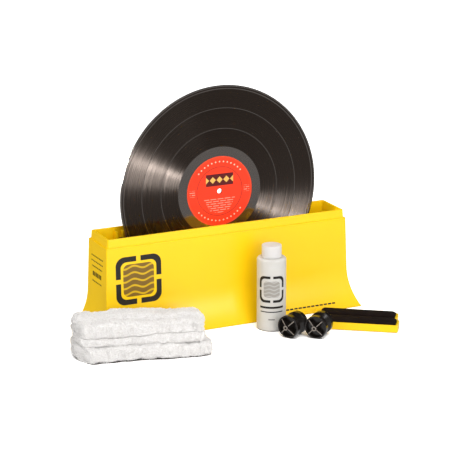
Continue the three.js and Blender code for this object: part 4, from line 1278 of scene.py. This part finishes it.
clothShape = {
    "sheetShare": 0.995, "step": 2.1, "endRound": 0.055, "endWidth": 0.8, "endHeight": 0.68, "slump": 0.16,
    "bendAcross": 0.45, "bendUp": 0.72, "clearNear": 0.4, "clearFar": 5.0, "pileDensity": 0.42,
    "pileSeed": 11,
    "openFar": 9, "lump": 2.0, "fluff": 0.9, "pinch": 2.2, "pinchEvery": 17, "grooveWide": 4.5,
}
lowerCloth = {
    "length": 182, "width": 71, "height": 22, "order": (1, 6, 3, 4, 5, 2), "firstSide": -1,
    "startAt": 31, "endAt": 28, "seed": 3.7, "place": (-252.2, -77.7, 0), "turn": -13, "tilt": 0,
    "backSwell": 0, "backFrom": 0, "broad": 2.2, "front": 2.6, "pleat": 2.4, "setBack": 0, "foldRise": 0,
    "foldFrom": 0,
    "gap": 1.7, "cornerIn": 13, "grooveAt": 0, "groove": 0,
}
upperCloth = {
    "length": 172, "width": 76, "height": 33, "order": (6, 3, 2, 1, 4, 5), "firstSide": -1,
    "startAt": 15, "endAt": 13, "seed": 9.1, "place": (-248.83, -69.76, 21.77), "turn": -13, "tilt": 1.108,
    "backSwell": 0.21, "backFrom": -20, "broad": 2.6, "front": 2.6, "pleat": 2.0, "setBack": 9, "foldRise": 4,
    "foldFrom": 62, "gap": 0.55, "cornerIn": 4, "grooveAt": -16, "groove": 1.8,
}


# Middle line of the folded sheet in (across, up); plies are counted from the bottom, wraps swap sides
def foldedPath(cloth):
    ply = cloth["height"] / len(cloth["order"])
    order = cloth["order"]
    wraps = [(a, b, cloth["firstSide"] * (-1) ** i) for i, (a, b) in enumerate(zip(order, order[1:]))]

    def centreOf(a, b, side):
        spans = [abs(c - d) for c, d, s in wraps
                 if s == side and min(c, d) <= min(a, b) and max(c, d) >= max(a, b)]
        return side * (cloth["width"] / 2 - (max(spans) + 1) * ply / 2)

    centres = [centreOf(*wrap) for wrap in wraps]
    starts = [cloth["startAt"]] + centres
    ends = centres + [cloth["endAt"]]
    path = []
    for i, number in enumerate(order):
        up = (number - 0.5) * ply
        steps = max(2, round(abs(ends[i] - starts[i]) / clothShape["step"]))
        path += [(starts[i] + (ends[i] - starts[i]) * k / steps, up)
                 for k in range(steps + (i == len(order) - 1))]
        if i < len(wraps):
            a, b, side = wraps[i]
            radius = abs(a - b) * ply / 2
            middle = (a + b - 1) * ply / 2
            way = 1 if b > a else -1
            bends = max(5, round(math.pi * radius / clothShape["step"]))
            for k in range(bends):
                turn = way * math.pi * (k / bends - 0.5)
                out = abs(math.cos(turn)) ** clothShape["bendAcross"]
                rise = math.copysign(abs(math.sin(turn)) ** clothShape["bendUp"], turn)
                path.append((centres[i] + side * radius * out, middle + radius * rise))
    return path, ply


def pathLength(path):
    return sum(math.dist(a, b) for a, b in zip(path, path[1:]))


def smoothStep(low, high, value):
    share = min(max((value - low) / (high - low), 0), 1)
    return share * share * (3 - 2 * share)


# Bends all the plies together, so that they lie on one another as a soft stack does
def slumped(cloth, x, y, z):
    seed = cloth["seed"]
    share = min(max(x / cloth["length"], 0), 1)
    fromEnd = min(share, 1 - share) / clothShape["endRound"]
    full = 1 if fromEnd >= 1 else math.sqrt(max(1 - (1 - fromEnd) ** 2, 0))
    spread = clothShape["endWidth"] + (1 - clothShape["endWidth"]) * full
    squeeze = clothShape["endHeight"] + (1 - clothShape["endHeight"]) * full
    whole = cloth["height"] * (1 - clothShape["slump"] * share)
    up = z / cloth["height"]
    side = y / (cloth["width"] / 2)
    frontness = smoothStep(-0.35, -1.0, side)
    backness = smoothStep(0.35, 1.0, side)
    swell = cloth["backSwell"] * (0.6 + 0.4 * smoothStep(0.1, 0.7, share))
    swell = 1 + swell * smoothStep(cloth["backFrom"], cloth["backFrom"] + 12, y)
    broad = cloth["broad"] * noise.noise(Vector((x / 48, y / 40, seed)))
    broad += 0.45 * cloth["broad"] * noise.noise(Vector((x / 17, y / 24, seed + 5)))
    pleat = noise.noise(Vector((x / 13, z / 30, seed + 2)))
    pleat += 0.6 * noise.noise(Vector((x / 6.5, z / 22, seed + 8)))
    sway = cloth["front"] * noise.noise(Vector((x / 36, z / 14, seed + 3)))
    gap = cloth["gap"] * max(0.55 + 1.5 * noise.noise(Vector((x / 11, y / 50, seed + 12))), 0)
    lift = (whole - whole * squeeze) * 0.35
    receding = smoothStep(cloth["foldFrom"], cloth["foldFrom"] + 45, x) * frontness
    height = lift + up * whole * squeeze * swell + up * broad
    height += receding * cloth["foldRise"] * math.sin(math.pi * min(max(up, 0), 1))
    height += frontness * up * (1 - up) * 4 * (0.6 * pleat)
    height += frontness * (1 - min(max(up, 0), 1)) ** 3 * gap * full
    grooveAt = cloth["grooveAt"] + 6 * noise.noise(Vector((x / 25, seed, 2)))
    groove = math.exp(-((y - grooveAt) / clothShape["grooveWide"]) ** 2) * smoothStep(0.5, 1, up)
    dip = 0.07 * cloth["groove"] * max(y - grooveAt, 0) * 0.5 * smoothStep(0.5, 1, up)
    height -= cloth["groove"] * groove + dip
    across = y * spread + frontness * (sway + cloth["pleat"] * pleat * full) + backness * sway * 0.7
    across += receding * cloth["setBack"] * smoothStep(0.3, 0.62, up)
    along = x + 4 * noise.noise(Vector((y / 20, z / 9, seed + 6))) * (1 - 2 * share)
    along += (cloth["cornerIn"] * frontness + 3 * cloth["groove"] * groove) * (1 - share) ** 12
    return along, across, height


def clothStations(cloth, half):
    length = cloth["length"]
    count = round(length / clothShape["step"])
    near = [(0, 0.12), (half * 0.18, 0.55), (half * 0.6, 0.87), (half * 1.2, 1)]
    middle = [(half * 2.2 + (length - half * 4.4) * i / count, 1) for i in range(count + 1)]
    return near + middle + [(length - x, share) for x, share in reversed(near)]


def clothMesh(name, cloth):
    path, ply = foldedPath(cloth)
    half = ply * clothShape["sheetShare"] / 2
    count = len(path)
    normals, ways = [], []
    for i in range(count):
        a, b = path[max(i - 1, 0)], path[min(i + 1, count - 1)]
        way = Vector((b[0] - a[0], b[1] - a[1])).normalized()
        ways.append(way)
        normals.append(Vector((-way.y, way.x)))
    points = []
    for x, share in clothStations(cloth, half):
        h = half * share
        ring = [(path[i][0] + normals[i].x * h, path[i][1] + normals[i].y * h) for i in range(count)]
        for turn in (45, 0, -45):
            t = math.radians(turn)
            ring.append((path[-1][0] + h * (normals[-1].x * math.sin(t) + ways[-1].x * math.cos(t)),
                         path[-1][1] + h * (normals[-1].y * math.sin(t) + ways[-1].y * math.cos(t))))
        ring += [(path[i][0] - normals[i].x * h, path[i][1] - normals[i].y * h)
                 for i in reversed(range(count))]
        for turn in (-45, 0, 45):
            t = math.radians(turn)
            ring.append((path[0][0] + h * (normals[0].x * math.sin(t) - ways[0].x * math.cos(t)),
                         path[0][1] + h * (normals[0].y * math.sin(t) - ways[0].y * math.cos(t))))
        points += [slumped(cloth, x, y, z) for y, z in ring]
    around = 2 * count + 6
    rows = len(points) // around
    faces = []
    for r in range(rows - 1):
        for i in range(around):
            j = (i + 1) % around
            faces.append((r * around + i, r * around + j, (r + 1) * around + j, (r + 1) * around + i))
    for base, flip in ((0, False), ((rows - 1) * around, True)):
        ends = [[base + i, base + i + 1, base + 2 * count + 1 - i, base + 2 * count + 2 - i]
                for i in range(count - 1)]
        ends.append([base + count - 1 + i for i in range(5)])
        ends.append([base + 2 * count + 2 + i for i in range(4)] + [base])
        faces += [tuple(reversed(f)) if flip else tuple(f) for f in ends]
    place = (Matrix.Translation(Vector(cloth["place"]) * mm)
             @ Matrix.Rotation(math.radians(cloth["turn"]), 4, "Z")
             @ Matrix.Rotation(math.radians(cloth["tilt"]), 4, "Y"))
    return meshOf(name, (points, faces), place), pathLength(path)


# Lumps all over and upright pinches in the front, on the faces of the folded sheet that nothing lies on
def fluffed(mesh, cloth):
    tree = BVHTree.FromPolygons([v.co for v in mesh.vertices], [tuple(f.vertices) for f in mesh.polygons])
    near, far = clothShape["clearNear"] * mm, clothShape["clearFar"] * mm
    moved = []
    for vertex in mesh.vertices:
        place, normal = vertex.co / mm, vertex.normal
        away = tree.ray_cast(vertex.co + normal * near, normal, far)[3]
        bare = (1 if away is None else (away / far) ** 2) * smoothStep(-0.7, 0, normal.z)
        facing = smoothStep(0.2, 0.75, -normal.y)
        lumps = clothShape["lump"] * noise.noise(place / 12) + clothShape["fluff"] * noise.noise(place / 4.2)
        bend = noise.noise(Vector((place.x / clothShape["pinchEvery"], place.z / 40, cloth["seed"])))
        pinch = clothShape["pinch"] * facing * (1 - smoothStep(0, 0.28, abs(bend)))
        moved.append(vertex.co + normal * bare * (lumps - pinch) * mm)
    for vertex, place in zip(mesh.vertices, moved):
        vertex.co = (place.x, place.y, max(place.z, 0.1 * mm))
    mesh.update()
    return mesh


# The faces of a folded sheet that nothing lies on: the pile stands up there
def openFaces(mesh):
    tree = BVHTree.FromPolygons([v.co for v in mesh.vertices], [tuple(f.vertices) for f in mesh.polygons])
    near, far = clothShape["clearNear"] * mm, clothShape["openFar"] * mm
    kept = [tuple(f.vertices) for f in mesh.polygons
            if f.center.z > 0.6 * mm and tree.ray_cast(f.center + f.normal * near, f.normal, far)[0] is None]
    used = {v: i for i, v in enumerate(sorted({v for face in kept for v in face}))}
    host = bpy.data.meshes.new(mesh.name + "Open")
    host.from_pydata([mesh.vertices[v].co for v in used], [], [tuple(used[v] for v in face) for face in kept])
    return host


# Tree that stands small loops of pile on a surface, each turned and sized at random from a fixed seed
def makePileTree():
    tree = bpy.data.node_groups.new("pileOnSurface", "GeometryNodeTree")
    for name, kind in (("Surface", "Geometry"), ("Loop", "Object"), ("Density", "Float"), ("Seed", "Int"),
                       ("Smallest", "Float"), ("Largest", "Float"), ("Finish", "Material")):
        tree.interface.new_socket(name, in_out="INPUT", socket_type="NodeSocket" + kind)
    tree.interface.new_socket("Pile", in_out="OUTPUT", socket_type="NodeSocketGeometry")
    given = addNode(tree, "NodeGroupInput")
    spread = addNode(tree, "GeometryNodeDistributePointsOnFaces", {
        "Mesh": given.outputs["Surface"], "Density": given.outputs["Density"], "Seed": given.outputs["Seed"],
    })
    loop = addNode(tree, "GeometryNodeObjectInfo", {"Object": given.outputs["Loop"]},
                   transform_space="ORIGINAL")
    size = addNode(tree, "FunctionNodeRandomValue", {
        "Min": given.outputs["Smallest"], "Max": given.outputs["Largest"], "Seed": given.outputs["Seed"],
    }, data_type="FLOAT")
    spin = addNode(tree, "FunctionNodeRandomValue",
                   {"Min": (-0.5, -0.5, 0), "Max": (0.5, 0.5, 6.28), "Seed": given.outputs["Seed"]},
                   data_type="FLOAT_VECTOR")
    turned = addNode(tree, "FunctionNodeRotateRotation", {
        "Rotation": spread.outputs["Rotation"],
        "Rotate By": addNode(tree, "FunctionNodeEulerToRotation", {"Euler": spin}),
    }, rotation_space="LOCAL")
    copies = addNode(tree, "GeometryNodeInstanceOnPoints", {
        "Points": spread, "Instance": loop.outputs["Geometry"], "Rotation": turned, "Scale": size,
    })
    real = addNode(tree, "GeometryNodeRealizeInstances", {"Geometry": copies})
    smooth = addNode(tree, "GeometryNodeSetShadeSmooth", {"Geometry": real})
    dressed = addNode(tree, "GeometryNodeSetMaterial",
                      {"Geometry": smooth, "Material": given.outputs["Finish"]})
    addNode(tree, "NodeGroupOutput", {"Pile": dressed})
    return tree


# Cotton terry: looped white pile that scatters light softly, with painted shade making it greyer down between
# the loops
def whiteTerry():
    material, tree = newMaterial("whiteTerry")
    place = addNode(tree, "ShaderNodeTexCoord").outputs["Object"]
    loops = addNode(tree, "ShaderNodeTexVoronoi",
                    {"Vector": place, "Scale": 1 / (1.7 * mm), "Randomness": 0.9})
    fuzz = addNode(tree, "ShaderNodeTexNoise",
                   {"Vector": place, "Scale": 1 / (0.5 * mm), "Detail": 3.0, "Roughness": 0.7})
    cloud = addNode(tree, "ShaderNodeTexNoise",
                    {"Vector": place, "Scale": 1 / (22 * mm), "Detail": 2.0, "Roughness": 0.5})
    base = addNode(tree, "ShaderNodeMix", {"Factor": cloud, "A": "ecebeb", "B": "f3f1ef"}, data_type="RGBA")
    # Painted shade: the colour turns greyer down between the loops
    deep = addNode(tree, "ShaderNodeMapRange", {"Value": loops, "From Min": 0.15, "From Max": 0.8})
    colour = addNode(tree, "ShaderNodeMix", {"Factor": deep, "A": base, "B": "e2dfdc"}, data_type="RGBA")
    relief = addNode(tree, "ShaderNodeBump",
                     {"Height": loops, "Distance": 0.6 * mm, "Strength": 0.6}, invert=True)
    relief = addNode(tree, "ShaderNodeBump",
                     {"Height": fuzz, "Distance": 0.2 * mm, "Strength": 0.5, "Normal": relief})
    skin = addNode(tree, "ShaderNodeBsdfPrincipled", {
        "Base Color": colour, "Roughness": 0.95, "Normal": relief, "Specular IOR Level": 0.1,
        "Sheen Weight": 0.2, "Sheen Roughness": 0.5,
    })
    addNode(tree, "ShaderNodeOutputMaterial", {"Surface": skin})
    return material


def makeCloths():
    terry = whiteTerry()
    pileTree = makePileTree()
    ring = [(0.85 * math.cos(math.pi * i / 2), 0.85 * math.sin(math.pi * i / 2), 0.35) for i in range(4)]
    tuft = ([(0, 0, -0.5)] + ring + [(0, 0, 1.05)],
            [(0, (i + 1) % 4 + 1, i + 1) for i in range(4)] + [(5, i + 1, (i + 1) % 4 + 1) for i in range(4)])
    loop = linkObject("terryLoop", meshOf("terryLoop", tuft))
    for name, node, cloth in (("clothLower", "cloth_lower", lowerCloth),
                              ("clothUpper", "cloth_upper", upperCloth)):
        mesh, length = clothMesh(name, cloth)
        fluffed(mesh, cloth)
        values = {
            "Loop": loop, "Density": clothShape["pileDensity"] / mm ** 2, "Seed": clothShape["pileSeed"],
            "Smallest": 0.7, "Largest": 1.5, "Finish": terry,
        }
        pileMesh = grown(pileTree, openFaces(mesh), values)
        pile = makePiece(name + "Pile", pileMesh, [terry], node, None, False)
        sheet = makePiece(name, smoothed(mesh, 80), [terry], node, node, False)
        print(name, "path", round(length, 1), "mm, pile faces", len(pileMesh.polygons))
    bpy.data.objects.remove(loop)


makeCloths()
print("cloths made")
